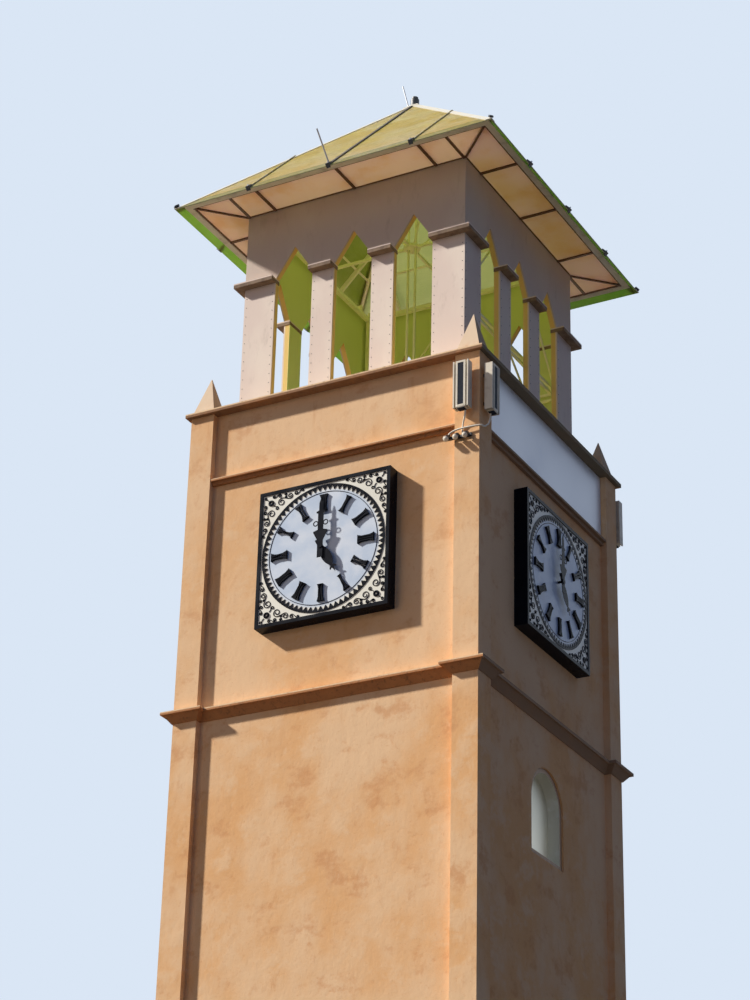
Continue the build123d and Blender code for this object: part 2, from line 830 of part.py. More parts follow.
def main():
    os.makedirs("parts", exist_ok=True)
    save("plinth", make_plinth())
    save("corner_columns", *[make_column(sx, sy) for sx in (-1, 1) for sy in (-1, 1)])
    for k, name in enumerate(faces):
        save(f"shaft_wall_{name}", turned(make_wall(k in window_faces), k))
    save("window_linings", *[turned(make_lining(), k) for k in window_faces])
    save("window_panes", *[turned(make_pane(), k) for k in window_faces])
    save("mid_cornice", make_mid_cornice())
    save("upper_strings", *all_round(make_string()))
    save("frieze_panel", turned(make_frieze(), 1))
    save("belfry_floor", make_belfry_floor())
    save("corner_pinnacles", *[make_pinnacle(sx, sy) for sx in (-1, 1) for sy in (-1, 1)])

    save("belfry_corner_piers", *all_round(corner_angle(0, 0, floor_z, pier_z)))
    piers, caps = [], all_round(corner_angle(cap_out, cap_side, pier_z, cap_z))
    for x in (-bay_pitch / 2, bay_pitch / 2):
        piers += all_round(pier_block(x, 0, 0, floor_z, pier_z))
        caps += all_round(pier_block(x, cap_out, cap_side, pier_z, cap_z))
    save("belfry_slender_piers", *piers)
    save("pier_caps", *caps)
    for k, name in enumerate(faces):
        save(f"head_wall_{name}", turned(make_head_wall(k), k))
    save("soffit", ring(make_soffit()))
    save("soffit_battens", *[batten for k in range(4) for batten in make_battens(k)])
    save("fascia", ring(make_fascia()))

    save("belfry_posts", *all_round(make_post()))
    save("ring_beam", ring(make_ring_beam()))
    save("belfry_rails", *[turned(rail, k) for k in braced_faces for rail in make_rails()])
    vees = (floor_z, rail_z), (rail_z + rail_gap + rail_w, ring_z)
    save("belfry_braces", *[turned(make_vee(*heights), k) for k in braced_faces for heights in vees])
    save("mast_pipes", *make_mast())
    save("mast_hubs", *make_hub())
    save("ring_ties", *all_round(make_tie()))
    save("eaves_joists", *[turned(joist, k) for k in range(4) for joist in make_joists()])
    hips = all_round(make_hip_rafter())
    rafters = [turned(rafter, k) for k in range(4) for rafter in make_rafters(hips)]
    save("hip_rafters", *hips)
    save("common_rafters", *rafters)
    front_purlins = make_purlins(hips, rafters)
    save("purlins", *[turned(purlin, k) for k in range(4) for purlin in front_purlins])
    save("roof_struts", *all_round(make_strut(hips)))

    for k, name in enumerate(faces):
        save(f"roof_sheet_{name}", turned(make_sheet(), k))
    hip_caps = all_round(make_hip_cap())
    save("hip_caps", *hip_caps)
    save("roof_ribs", *[turned(rib, k) for k in range(4) for rib in make_ribs(hip_caps)])
    save("eave_clamps", *[turned(clamp, k) for k in range(4) for clamp in make_clamps()])
    apex_cap = make_apex_cap()
    save("apex_cap", apex_cap)
    save("beacon", make_beacon())
    apex_rod = make_apex_rod(apex_cap, turned(make_sheet(), 3))
    save("lightning_rods", apex_rod, make_eave_rod(), turned(make_eave_rod(), 2))

    save("clock_cases", *all_round(make_case()))
    save("clock_dials", *all_round(make_dial()))
    for k, name in enumerate(faces):
        save(f"hour_hand_{name}", turned(make_hour_hand(), k))
        save(f"minute_hand_{name}", turned(make_minute_hand(), k))

    bodies, grilles, brackets = [], [], []
    for k, shift in enumerate(speaker_shift):
        side = 1 if k == 0 else -1
        place = wall_frame(k, side * (column_mid + shift))
        body, grille = make_speaker()
        bodies.append(place * body)
        grilles.append(place * grille)
        brackets += [place * bracket for bracket in make_brackets()]
    save("speaker_bodies", *bodies)
    save("speaker_grilles", *grilles)
    save("speaker_brackets", *brackets)
    save("wall_lamps", make_lamps())
    save("speaker_leads", *make_leads())


main()
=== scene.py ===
"""Dresses the clock tower: finishes of its CAD nodes, dial work, small fittings, leads and a stage."""

import bpy
import json
from math import acos, atan2, cos, hypot, pi, radians, sin, sqrt, tau
from mathutils import Matrix, Vector


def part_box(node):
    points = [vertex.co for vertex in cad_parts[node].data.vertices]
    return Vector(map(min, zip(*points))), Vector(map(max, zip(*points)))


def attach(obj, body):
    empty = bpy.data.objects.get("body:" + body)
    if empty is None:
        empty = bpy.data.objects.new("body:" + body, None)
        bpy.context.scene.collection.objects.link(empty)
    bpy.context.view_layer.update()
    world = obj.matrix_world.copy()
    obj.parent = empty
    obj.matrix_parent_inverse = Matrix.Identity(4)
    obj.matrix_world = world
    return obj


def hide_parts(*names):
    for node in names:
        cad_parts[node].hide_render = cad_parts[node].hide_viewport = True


bl_info = {
    "name": "Clock tower dressing",
    "version": (1, 0, 0),
    "blender": (4, 5, 0),
    "location": "View3D > Sidebar > Tower",
    "description": "Finishes, dials and trim for a stuccoed clock tower",
    "category": "Object",
}

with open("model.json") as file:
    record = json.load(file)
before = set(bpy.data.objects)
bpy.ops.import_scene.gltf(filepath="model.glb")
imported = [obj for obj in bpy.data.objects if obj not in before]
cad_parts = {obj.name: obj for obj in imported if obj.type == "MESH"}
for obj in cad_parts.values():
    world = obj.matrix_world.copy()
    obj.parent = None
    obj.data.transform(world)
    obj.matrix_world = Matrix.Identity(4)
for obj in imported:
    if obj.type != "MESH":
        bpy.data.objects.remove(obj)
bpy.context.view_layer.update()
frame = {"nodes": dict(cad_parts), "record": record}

# Places read from the frame, in metres
dial_low, dial_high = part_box("clock_dials")
dial_front = dial_high.y
dial_z = (dial_low.z + dial_high.z) / 2
dial_half = (dial_high.z - dial_low.z) / 2
shaft_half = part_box("corner_columns")[1].x
string_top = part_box("upper_strings")[1].z
cornice_low, cornice_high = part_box("mid_cornice")
floor_low, floor_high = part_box("belfry_floor")
pier_low, pier_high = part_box("belfry_corner_piers")
belfry_half = pier_high.x
cap_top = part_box("pier_caps")[1].z
soffit_low, soffit_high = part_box("soffit")
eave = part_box("roof_sheet_front")[1].x
speaker_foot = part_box("speaker_bodies")[0].z
lamp_low, lamp_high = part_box("wall_lamps")

# Sizes of the CAD that its boxes don't give, in metres
column_w = 0.33
belfry_t = 0.09
corner_pier_w = 0.46
slim_pier_edges = (0.28, 0.6)    # from the middle of the face
eave_z = soffit_low.z - 0.08
roof_rise = 2.433                # from the edge of the sheets to their apex
rib_pitch = 1.2
speaker_out = 0.109              # from the faces of the columns to the middle of the loudspeakers' feet
speaker_shift = (-0.015, 0.03, 0.09, -0.015)    # on each face, outwards from the middle of the column
lamp_out = 0.048                 # from the faces of the columns to the back ends of the lamps
lamp_r = 0.038
lamp_len = 0.075
lamp_pitch = 0.125
lamp_tilt = radians(35)          # below level

# The camera of the photo, in metres and radians, solved from the edges of the tower
camera_place = (13.863, -25.917, 1.6)
camera_yaw = 0.5054
camera_pitch = 0.4604
camera_roll = 0.0257

facing_front = (pi / 2, 0, 0)


def colour_prop(name, description, value):
    """A colour setting, written as red, green and blue from 0 to 255."""
    linear = [((v / 255 + 0.055) / 1.055) ** 2.4 for v in value]
    return bpy.props.FloatVectorProperty(
        name=name, description=description, default=linear, subtype="COLOR", size=3, min=0, max=1
    )


def length_prop(name, description, value):
    return bpy.props.FloatProperty(name=name, description=description, default=value, unit="LENGTH", min=0)


def angle_prop(name, description, value):
    """An angle setting, written in degrees."""
    return bpy.props.FloatProperty(
        name=name, description=description, default=radians(value), subtype="ANGLE"
    )


def number_prop(name, description, value):
    return bpy.props.FloatProperty(name=name, description=description, default=value, min=0)


class FinishSettings(bpy.types.PropertyGroup):
    """Colours of the tower's finishes."""

    stucco: colour_prop("Stucco", "Ochre coat of the shaft", (235, 180, 122))
    stucco_pale: colour_prop("Pale stucco", "Dusty patches in the ochre coat", (242, 203, 160))
    stucco_dark: colour_prop("Dark stucco", "Damp stains in the ochre coat", (210, 146, 92))
    # Painted highlight: the pale line along the lit upper edge of the ledges
    ledge_highlight: colour_prop("Ledge highlight", "Pale upper edge of the ledges", (246, 214, 172))
    moulding: colour_prop("Ledge", "Brown of the ledges", (184, 126, 80))
    cornice: colour_prop("Cornice", "Brown of the top cornice", (146, 106, 74))
    # Painted shade: the ledges and the top cornice take these colours on the right side, away from the key
    # light
    ledge_shade: colour_prop("Shady ledge", "Ledges on the right side", (146, 122, 102))
    cornice_shade: colour_prop("Shady cornice", "Top cornice on the right side", (100, 92, 78))
    pinnacle: colour_prop("Pinnacle", "Pale render of the corner pinnacles", (224, 200, 172))
    grime: colour_prop("Grime", "Dirt on the ledges and in the corners", (92, 70, 54))
    # Painted shade: this brown stands for shade on the pier caps, the head walls, the right faces and the
    # pinnacles; elsewhere it is dirt
    shade_and_dirt: colour_prop("Shade and dirt", "Painted shade on caps, head walls and right faces, and dirt", (140, 118, 98))
    plinth: colour_prop("Plinth", "Render of the plinth", (170, 152, 130))
    board: colour_prop("Board", "Painted boards of the belfry", (233, 214, 202))
    # Partly painted light: the yellow-green inside the belfry stands partly for light through the roof
    # sheets; on the steel it is the colour of wear
    inside_glow_and_wear: colour_prop("Inside glow and steel wear", "Belfry walls on the inside", (222, 236, 148))
    steel: colour_prop("Steel", "Painted steel inside the belfry", (252, 253, 200))
    sheet_top: colour_prop("Roof sheet", "Dusty top of the roof sheets", (239, 204, 118))
    sheet_under: colour_prop("Roof sheet underside", "Roof sheets seen from below", (184, 206, 88))
    sheet_glow: colour_prop("Roof sheet light", "Light through the roof sheets", (232, 233, 184))
    sheet_deep: colour_prop("Deep roof light", "Light through the upper left slope", (112, 124, 24))
    edge_glow: colour_prop("Overhang light", "Light through the lower edge of the sheets", (156, 190, 110))
    sheet_dust: colour_prop("Roof dust", "Brown dust in the creases of the roof sheets", (166, 148, 84))
    sheet_edge: colour_prop("Roof sheet edge", "Cut edge of the roof sheets", (196, 204, 160))
    fascia: colour_prop("Fascia", "Board along the eaves", (248, 240, 224))
    trim: colour_prop("Hip trim", "Folded trims on the hips", (226, 222, 206))
    rib_dark: colour_prop("Middle rib", "Rib in the middle of each slope", (74, 62, 44))
    soffit: colour_prop("Soffit", "Panels under the eaves", (250, 238, 222))
    soffit_glow: colour_prop("Soffit light", "Light through the soffit panels", (255, 230, 255))
    batten: colour_prop("Batten", "Battens under the eaves", (104, 70, 46))
    panel: colour_prop("Panel", "White frieze panel", (228, 233, 242))
    lining: colour_prop("Window lining", "Lining of the arched windows", (188, 186, 174))
    glass: colour_prop("Window glass", "Glass of the arched windows", (224, 219, 204))
    dial: colour_prop("Dial", "Middle of the dials", (194, 211, 234))
    dial_edge: colour_prop("Dial corners", "Corners and rim of the dials", (240, 238, 226))
    black: colour_prop("Black", "Clock cases, hands and numerals", (9, 13, 24))
    black_worn: colour_prop("Worn black", "Dull patches of the black paint", (24, 32, 46))
    speaker: colour_prop("Loudspeaker", "Bodies of the loudspeakers", (222, 214, 196))


class DialSettings(bpy.types.PropertyGroup):
    """Sizes of the work on the dials."""

    ring_radius: length_prop("Ring radius", "Outer radius of the toothed ring", 0.845)
    ring_band: length_prop("Ring band", "Plain band outside the teeth", 0.014)
    tooth: length_prop("Tooth", "Length of the teeth", 0.062)
    teeth: bpy.props.IntProperty(name="Teeth", description="Number of teeth", default=72, min=12, max=180)
    line_radius: length_prop("Line radius", "Radius of the thin line inside the teeth", 0.748)
    line_width: length_prop("Line width", "Width of the thin line", 0.007)
    numeral_radius: length_prop("Numeral radius", "Radius of the middle of the numerals", 0.597)
    numeral_height: length_prop("Numeral height", "Height of the numerals", 0.222)
    numeral_depth: length_prop("Numeral depth", "How far the numerals stand out", 0.03)
    numeral_width: length_prop("Numeral width", "Width of the widest numeral", 0.124)
    scroll_wire: length_prop("Scroll line", "Half the width of the lines of the scrolls", 0.0057)


class BelfrySettings(bpy.types.PropertyGroup):
    """Small fittings of the belfry and the eaves."""

    screw_radius: length_prop("Screw radius", "Radius of the screw heads", 0.0055)
    screw_pitch: length_prop("Screw pitch", "From screw to screw", 0.135)
    screw_inset: length_prop("Screw inset", "From the edge of a board to its screws", 0.032)
    edge_strip: length_prop("Edge strip", "Width of the dark strip round the soffit", 0.024)
    bolt_radius: length_prop("Bolt radius", "Radius of the bolts of the eave clamps", 0.009)
    lead_diameter: length_prop("Lead diameter", "Diameter of the leads of the loudspeakers", 0.022)


class StageSettings(bpy.types.PropertyGroup):
    """Light, floor and camera."""

    sun_strength: number_prop("Key light", "Strength of the key light", 5.0)
    sun_left: angle_prop("Key light to the left", "Angle of the key light from the front", 63.5)
    sun_up: angle_prop("Key light height", "Angle of the key light above level", 35.5)
    glow_strength: number_prop("Reflected light", "Strength of the warm light on the front", 0.32)
    sky_strength: number_prop("Fill light", "Strength of the light all round", 0.21)
    sky: colour_prop("Fill colour", "Colour of the light all round", (150, 185, 250))
    backdrop: colour_prop("Backdrop", "Colour behind the tower", (218, 230, 245))
    floor: colour_prop("Floor", "Colour of the floor", (206, 204, 198))
    floor_bounce: colour_prop("Floor bounce", "Colour that the floor throws on the tower", (68, 58, 46))
    lens: number_prop("Lens", "Focal length in millimetres", 91.16)


class Nodes:
    """A node tree under construction."""

    def __init__(self, tree):
        self.nodes = tree.nodes
        self.links = tree.links

    def node(self, kind, inputs=None, **settings):
        made = self.nodes.new(kind)
        for key, value in settings.items():
            setattr(made, key, value)
        for key, value in (inputs or {}).items():
            if isinstance(value, bpy.types.NodeSocket):
                self.links.new(value, made.inputs[key])
            else:
                made.inputs[key].default_value = value
        return made

    def calc(self, operation, a, b=0.0, *more):
        """A math node, or a chain of them where there are more than two values."""
        value = self.node("ShaderNodeMath", {0: a, 1: b}, operation=operation).outputs["Value"]
        return self.calc(operation, value, *more) if more else value

    def times(self, *values):
        return self.calc("MULTIPLY", *values)

    def seen(self):
        """1 for what the camera sees, straight or mirrored, and 0 for what only throws light."""
        rays = self.node("ShaderNodeLightPath").outputs
        kinds = ("Camera", "Glossy", "Transmission")
        return self.calc("MAXIMUM", *(rays[f"Is {kind} Ray"] for kind in kinds))

    def show(self, output, share, first, second):
        """Mixes two shaders into an output node."""
        mixed = self.node("ShaderNodeMixShader", {0: share, 1: first.outputs[0], 2: second.outputs[0]})
        self.links.new(mixed.outputs[0], self.nodes[output].inputs["Surface"])


class Look(Nodes):
    """A material under construction, whose patterns read the place on the object."""

    def __init__(self, name, colour, roughness, metallic=0.0, specular=0.5):
        self.material = bpy.data.materials.new(name)
        self.material.use_nodes = True
        super().__init__(self.material.node_tree)
        self.surface = self.nodes["Principled BSDF"]
        self.surface.inputs["Base Color"].default_value = (*colour, 1)
        self.surface.inputs["Roughness"].default_value = roughness
        self.surface.inputs["Metallic"].default_value = metallic
        self.surface.inputs["Specular IOR Level"].default_value = specular
        self.place = self.node("ShaderNodeTexCoord").outputs["Object"]

    def noise(self, scale, detail, squash=1.0, roughness=0.5):
        """Cloudy noise, flattened by a squash over 1 and drawn out upwards by one under 1."""
        place = self.node("ShaderNodeMapping", {"Vector": self.place, "Scale": (1, 1, squash)}).outputs[0]
        inputs = {"Vector": place, "Scale": scale, "Detail": detail, "Roughness": roughness}
        return self.node("ShaderNodeTexNoise", inputs).outputs["Fac"]

    def spread(self, value, low, high, to_low=0.0, to_high=1.0):
        """Maps a value between low and high onto another range, with soft ends."""
        inputs = {"Value": value, "From Min": low, "From Max": high, "To Min": to_low, "To Max": to_high}
        return self.node("ShaderNodeMapRange", inputs, interpolation_type="SMOOTHSTEP").outputs["Result"]

    def blend(self, share, a, b):
        """Mixes two colours; a colour is a socket or three numbers."""
        inputs = {0: share}
        for key, value in ((6, a), (7, b)):
            inputs[key] = value if isinstance(value, bpy.types.NodeSocket) else (*value, 1)
        return self.node("ShaderNodeMix", inputs, data_type="RGBA").outputs[2]

    def tint(self, colour, other, value, low, high, share=1.0):
        """Turns a colour softly into a share of another, where a value goes from low to high."""
        return self.blend(self.spread(value, low, high, 0, share), colour, other)

    def along(self, axis):
        """The place along X, Y or Z."""
        return self.node("ShaderNodeSeparateXYZ", {"Vector": self.place}).outputs[axis]

    def facing(self, axis):
        """How much the surface faces along X, Y or Z."""
        normal = self.node("ShaderNodeNewGeometry").outputs["Normal"]
        return self.node("ShaderNodeSeparateXYZ", {"Vector": normal}).outputs[axis]

    def aside(self, which):
        """The larger or the smaller distance from the middle of the tower, of those along X and Y."""
        return self.calc(which, *(self.calc("ABSOLUTE", self.along(axis)) for axis in "XY"))

    def paint(self, colour):
        self.links.new(colour, self.surface.inputs["Base Color"])

    def gloss(self, value, low, high):
        """Roughness from low to high, by a noise."""
        self.links.new(self.spread(value, 0.3, 0.7, low, high), self.surface.inputs["Roughness"])

    def bump(self, height, distance, strength):
        made = self.node("ShaderNodeBump", {"Height": height, "Distance": distance, "Strength": strength})
        self.links.new(made.outputs["Normal"], self.surface.inputs["Normal"])

    def let_through(self, share, light):
        """Makes a share of the material translucent, in the colour of the light."""
        glow = self.node("ShaderNodeBsdfTranslucent", {"Color": light})
        self.show("Material Output", share, self.surface, glow)


def stucco_finish(hues):
    """Trowelled ochre coat, mottled by hand work, dusty in places and stained below the mouldings."""
    pale = hues.stucco_pale
    dark = hues.stucco_dark
    look = Look("stucco", hues.stucco, 0.92)
    z = look.along("Z")
    cloud = look.noise(0.5, 5, 0.8, 0.6)
    patch = look.noise(1.9, 6, 1.3, 0.66)
    smear = look.noise(4.6, 6, 0.55, 0.7)
    colour = look.tint(hues.stucco, pale, cloud, 0.4, 0.6)
    colour = look.tint(colour, pale, patch, 0.5, 0.66, 0.75)
    colour = look.tint(colour, dark, patch, 0.46, 0.32, 0.6)
    colour = look.tint(colour, dark, smear, 0.56, 0.72, 0.45)
    colour = look.tint(colour, pale, smear, 0.42, 0.3, 0.5)
    colour = look.tint(colour, pale, z, 9.0, floor_low.z, 0.3)
    runs = look.spread(look.noise(6.0, 4, 0.08, 0.6), 0.55, 0.75)
    for edge in (cornice_low.z, floor_low.z):
        near = look.spread(z, edge - 0.9, edge, 0.0, 0.4)
        below = look.calc("LESS_THAN", z, edge)
        colour = look.blend(look.times(near, below, runs), colour, dark)
    grit = look.noise(30.0, 4, 1.0, 0.7)
    colour = look.tint(colour, pale, grit, 0.55, 0.75, 0.35)
    look.paint(look.tint(colour, dark, grit, 0.42, 0.28, 0.35))
    strokes = look.times(smear, 0.7)
    look.bump(look.calc("ADD", patch, strokes, look.times(grit, 0.2)), 0.012, 0.6)
    return look


def moulding_finish(hues, paint, shade, top, lip):
    """A ledge of the shaft: brown and grimy, with a painted highlight along the lit upper edge and painted
    shade on the right side.
    """
    look = Look("moulding", paint, 0.9)
    grime = look.noise(3.4, 6, 1.0, 0.7)
    speck = look.noise(17.0, 4, 1.0, 0.7)
    colour = look.tint(paint, hues.stucco_dark, grime, 0.45, 0.65, 0.3)
    colour = look.tint(colour, hues.grime, speck, 0.5, 0.7, 0.5)
    # Painted shade: on the right side, away from the key light, the ledge turns to its shade colour
    on_right = look.calc("GREATER_THAN", look.along("X"), look.calc("ABSOLUTE", look.along("Y")))
    painted_shade = look.times(on_right, look.spread(grime, 0.35, 0.55, 0.8, 0.96))
    colour = look.blend(painted_shade, colour, shade)
    # Painted highlight: a pale line along the upper edge, only on the lit sides
    lit = look.calc("SUBTRACT", 1.0, on_right)
    level = look.spread(look.along("Z"), top - lip, top - lip * 0.6)
    highlight = look.times(level, lit, look.spread(speck, 0.3, 0.5, 0.5, 1))
    look.paint(look.blend(highlight, colour, hues.ledge_highlight))
    look.bump(look.calc("ADD", grime, look.times(speck, 0.4)), 0.01, 0.6)
    return look


def pinnacle_finish(hues):
    """Pale render with dirt, made darker and browner on the right side by painted shade."""
    look = Look("pinnacle_render", hues.pinnacle, 0.9)
    dirt = look.noise(5.0, 5, 0.6, 0.65)
    colour = look.tint(hues.pinnacle, hues.stucco_dark, dirt, 0.45, 0.7, 0.4)
    # Painted shade: faces turned to the right, away from the key light, are browned
    look.paint(look.tint(colour, hues.shade_and_dirt, look.facing("X"), 0.2, 0.6, 0.7))
    look.bump(dirt, 0.01, 0.5)
    return look


def cap_finish(hues):
    """Caps of the piers: the pale board colour on the upper edge, over a brown face that is painted shade,
    with dirt.
    """
    look = Look("pier_cap", hues.shade_and_dirt, 0.85)
    dirt = look.noise(8.0, 5, 0.4, 0.65)
    # Painted shade: the brown face under the pale upper edge stands for the shade under the cap
    face = look.tint(hues.shade_and_dirt, hues.grime, dirt, 0.4, 0.65, 0.6)
    look.paint(look.tint(face, hues.board, look.along("Z"), cap_top - 0.02, cap_top - 0.014))
    look.bump(dirt, 0.004, 0.5)
    return look


def plinth_finish(hues):
    look = Look("plinth_render", hues.plinth, 0.95)
    speck = look.noise(26.0, 5)
    damp = look.noise(1.4, 4, 2.0)
    colour = look.tint(hues.plinth, hues.stucco_pale, speck, 0.4, 0.75, 0.4)
    look.paint(look.tint(colour, hues.batten, damp, 0.45, 0.7, 0.35))
    look.bump(speck, 0.01, 0.7)
    return look


def board_finish(hues):
    """Painted boards: dusty outside, with painted shade on the head walls and the right face, painted
    yellow light in the reveals, and yellow-green inside the belfry that is partly painted light through
    the roof.
    """
    look = Look("belfry_board", hues.board, 0.72)
    reach = look.aside("MAXIMUM")
    dust = look.noise(1.7, 4, 0.5)
    grime = look.noise(9.0, 5, 0.3, 0.65)
    colour = look.tint(hues.board, hues.soffit, dust, 0.4, 0.7, 0.5)
    colour = look.tint(colour, hues.shade_and_dirt, grime, 0.55, 0.8, 0.25)
    # Painted shade: the head walls, in the shadow of the eaves, and the right face, away from the key
    # light, are browned
    head = look.spread(look.along("Z"), cap_top - 0.01, cap_top + 0.01, 0, 0.4)
    right = look.spread(look.along("X"), belfry_half - 0.01, belfry_half, 0, 0.2)
    colour = look.blend(look.calc("MAXIMUM", head, right), colour, hues.shade_and_dirt)
    # Painted light: the reveals take the yellow of light coming through the roof sheets
    reveal = look.spread(reach, belfry_half - 0.03, belfry_half - 0.01, 1, 0)
    colour = look.blend(reveal, colour, hues.sheet_top)
    # Partly painted light: the inner faces are yellow-green, partly for light coming through the roof
    # sheets
    inside = look.calc("LESS_THAN", reach, belfry_half - belfry_t + 0.004)
    look.paint(look.blend(inside, colour, hues.inside_glow_and_wear))
    look.bump(look.noise(42.0, 3, 0.4), 0.003, 0.5)
    return look


def steel_finish(hues):
    """Brushed paint on steel, worn thin here and there."""
    look = Look("lime_steel", hues.steel, 0.48)
    wear = look.noise(6.0, 4)
    streak = look.noise(30.0, 3, 0.2)
    look.paint(look.tint(hues.steel, hues.inside_glow_and_wear, wear, 0.5, 0.75, 0.4))
    look.gloss(streak, 0.4, 0.6)
    look.bump(streak, 0.0015, 0.4)
    return look


def roof_sheet_finish(hues):
    """Translucent sheet: dusty and wrinkled on top, yellow-green from below and dull along its edge."""
    look = Look("roof_sheet", hues.sheet_top, 0.6)
    dust = look.noise(1.3, 5, 2.2, 0.6)
    crease = look.noise(7.0, 7, 4.0, 0.72)
    fine = look.noise(20.0, 4, 3.0, 0.7)
    top = look.tint(hues.sheet_top, hues.soffit, dust, 0.4, 0.62, 0.55)
    top = look.tint(top, hues.sheet_dust, crease, 0.5, 0.6, 0.6)
    top = look.tint(top, hues.dial_edge, crease, 0.47, 0.37, 0.6)
    top = look.tint(top, hues.sheet_dust, fine, 0.5, 0.66, 0.6)
    below = look.tint(hues.sheet_under, hues.steel, dust, 0.35, 0.7, 0.5)
    up = look.facing("Z")
    colour = look.blend(look.calc("LESS_THAN", up, 0.0), top, below)
    shares = [look.times(look.along(axis), look.facing(axis)) for axis in "XY"]
    outwards = look.calc("GREATER_THAN", look.calc("ADD", *shares), 0.0)
    edge = look.times(look.calc("LESS_THAN", up, 0.3), outwards)
    look.paint(look.blend(edge, colour, hues.sheet_edge))
    look.bump(look.calc("ADD", crease, look.times(fine, 0.4)), 0.04, 0.8)
    past_soffit = look.calc("GREATER_THAN", look.aside("MAXIMUM"), soffit_high.x)
    light = look.blend(past_soffit, hues.sheet_glow, hues.edge_glow)
    high = look.spread(look.along("Z"), soffit_high.z + 0.15, soffit_high.z + 0.55, 0, 0.85)
    from_left = look.calc("ADD", look.along("X"), look.calc("ABSOLUTE", look.along("Y")))
    deep = look.times(high, look.calc("LESS_THAN", from_left, 0.0))
    light = look.blend(deep, light, hues.sheet_deep)
    look.let_through(look.times(look.calc("SUBTRACT", 1.0, edge), 0.58), light)
    return look


def trim_finish(hues):
    """Folded metal trim with dull dirt in its creases."""
    look = Look("hip_trim", hues.trim, 0.42)
    dirt = look.noise(11.0, 5, 1.8, 0.65)
    look.paint(look.tint(hues.trim, hues.sheet_top, dirt, 0.5, 0.75, 0.5))
    look.gloss(dirt, 0.34, 0.55)
    look.bump(dirt, 0.002, 0.4)
    return look


def rib_finish(hues):
    """The middle rib of each slope is dark, and the outer ones are the colour of the dusty sheet."""
    look = Look("roof_rib", hues.rib_dark, 0.5)
    outer = look.calc("GREATER_THAN", look.aside("MINIMUM"), 0.2)
    dirt = look.noise(14.0, 4)
    pale = look.tint(hues.sheet_dust, hues.lining, dirt, 0.4, 0.7)
    look.paint(look.blend(outer, hues.rib_dark, pale))
    look.bump(dirt, 0.002, 0.4)
    return look


def soffit_finish(hues):
    """Thin panels whose tint changes along the eaves, with light coming through them."""
    look = Look("soffit_panel", hues.soffit, 0.66)
    drift = look.noise(0.9, 1)
    haze = look.noise(5.0, 4)
    stain = look.noise(1.6, 5, 1.0, 0.65)
    colour = look.tint(hues.soffit, hues.board, drift, 0.42, 0.6, 0.6)
    look.paint(look.tint(colour, hues.stucco_pale, haze, 0.5, 0.8, 0.3))
    look.bump(haze, 0.002, 0.4)
    light = look.tint(hues.soffit_glow, hues.stucco, stain, 0.45, 0.68, 0.3)
    right = look.spread(look.along("X"), belfry_half, belfry_half + 0.05, 0, 0.3)
    yellower = look.times(right, look.spread(drift, 0.35, 0.6))
    look.let_through(0.94, look.blend(yellower, light, hues.sheet_top))
    return look


def dial_finish(hues):
    """Pale dial within the minute line, cream outside it."""
    look = Look("dial_plate", hues.dial, 0.35)
    across = look.aside("MINIMUM")
    up = look.calc("SUBTRACT", look.along("Z"), dial_z)
    squares = [look.times(value, value) for value in (across, up)]
    out = look.calc("SQRT", look.calc("ADD", *squares))
    haze = look.noise(3.0, 4)
    middle = look.tint(hues.dial, hues.panel, haze, 0.4, 0.7, 0.5)
    look.paint(look.tint(middle, hues.dial_edge, out, 0.745, 0.8))
    look.gloss(haze, 0.3, 0.42)
    return look


def lining_finish(hues):
    """Smooth render in the reveal, and painted shade on the rim, in the colour of the shady ledges."""
    look = Look("window_lining", hues.lining, 0.6, 0.2)
    dirt = look.noise(6.0, 4)
    rim = look.calc("GREATER_THAN", look.calc("ABSOLUTE", look.facing("X")), 0.9)
    reveal = look.tint(hues.lining, hues.panel, dirt, 0.5, 0.78, 0.4)
    # Painted shade: the rim takes the shade colour of the ledges on the right side
    look.paint(look.blend(rim, reveal, hues.ledge_shade))
    look.bump(look.noise(36.0, 3), 0.002, 0.4)
    return look


def glass_finish(hues):
    """Dull glass that mirrors the sky, greyer towards its head."""
    look = Look("window_glass", hues.glass, 0.5, 0.9)
    pane_foot = 11.1
    pane_head = 12.1
    look.paint(look.tint(hues.glass, hues.lining, look.along("Z"), pane_foot, pane_head))
    look.bump(look.noise(2.0, 2), 0.004, 0.3)
    return look


def grille_finish(hues):
    """Perforated black metal."""
    look = Look("speaker_grille", hues.black, 0.6, specular=0.1)
    cells = look.node("ShaderNodeTexVoronoi", {"Vector": look.place, "Scale": 170.0})
    hole = look.spread(cells.outputs["Distance"], 0.25, 0.4)
    look.paint(look.blend(hole, hues.black, hues.black_worn))
    look.bump(hole, 0.002, 0.8)
    return look


def paint_finish(name, colour, soiled, roughness, scale=8.0, depth=0.002, metallic=0.0, specular=0.5):
    """Plain paint with slight dirt, shared by the small fittings."""
    look = Look(name, colour, roughness, metallic, specular)
    dirt = look.noise(scale, 4)
    look.paint(look.tint(colour, soiled, dirt, 0.5, 0.78, 0.4))
    look.gloss(dirt, roughness * 0.85, min(roughness * 1.2, 1))
    look.bump(look.noise(scale * 6, 3), depth, 0.4)
    return look


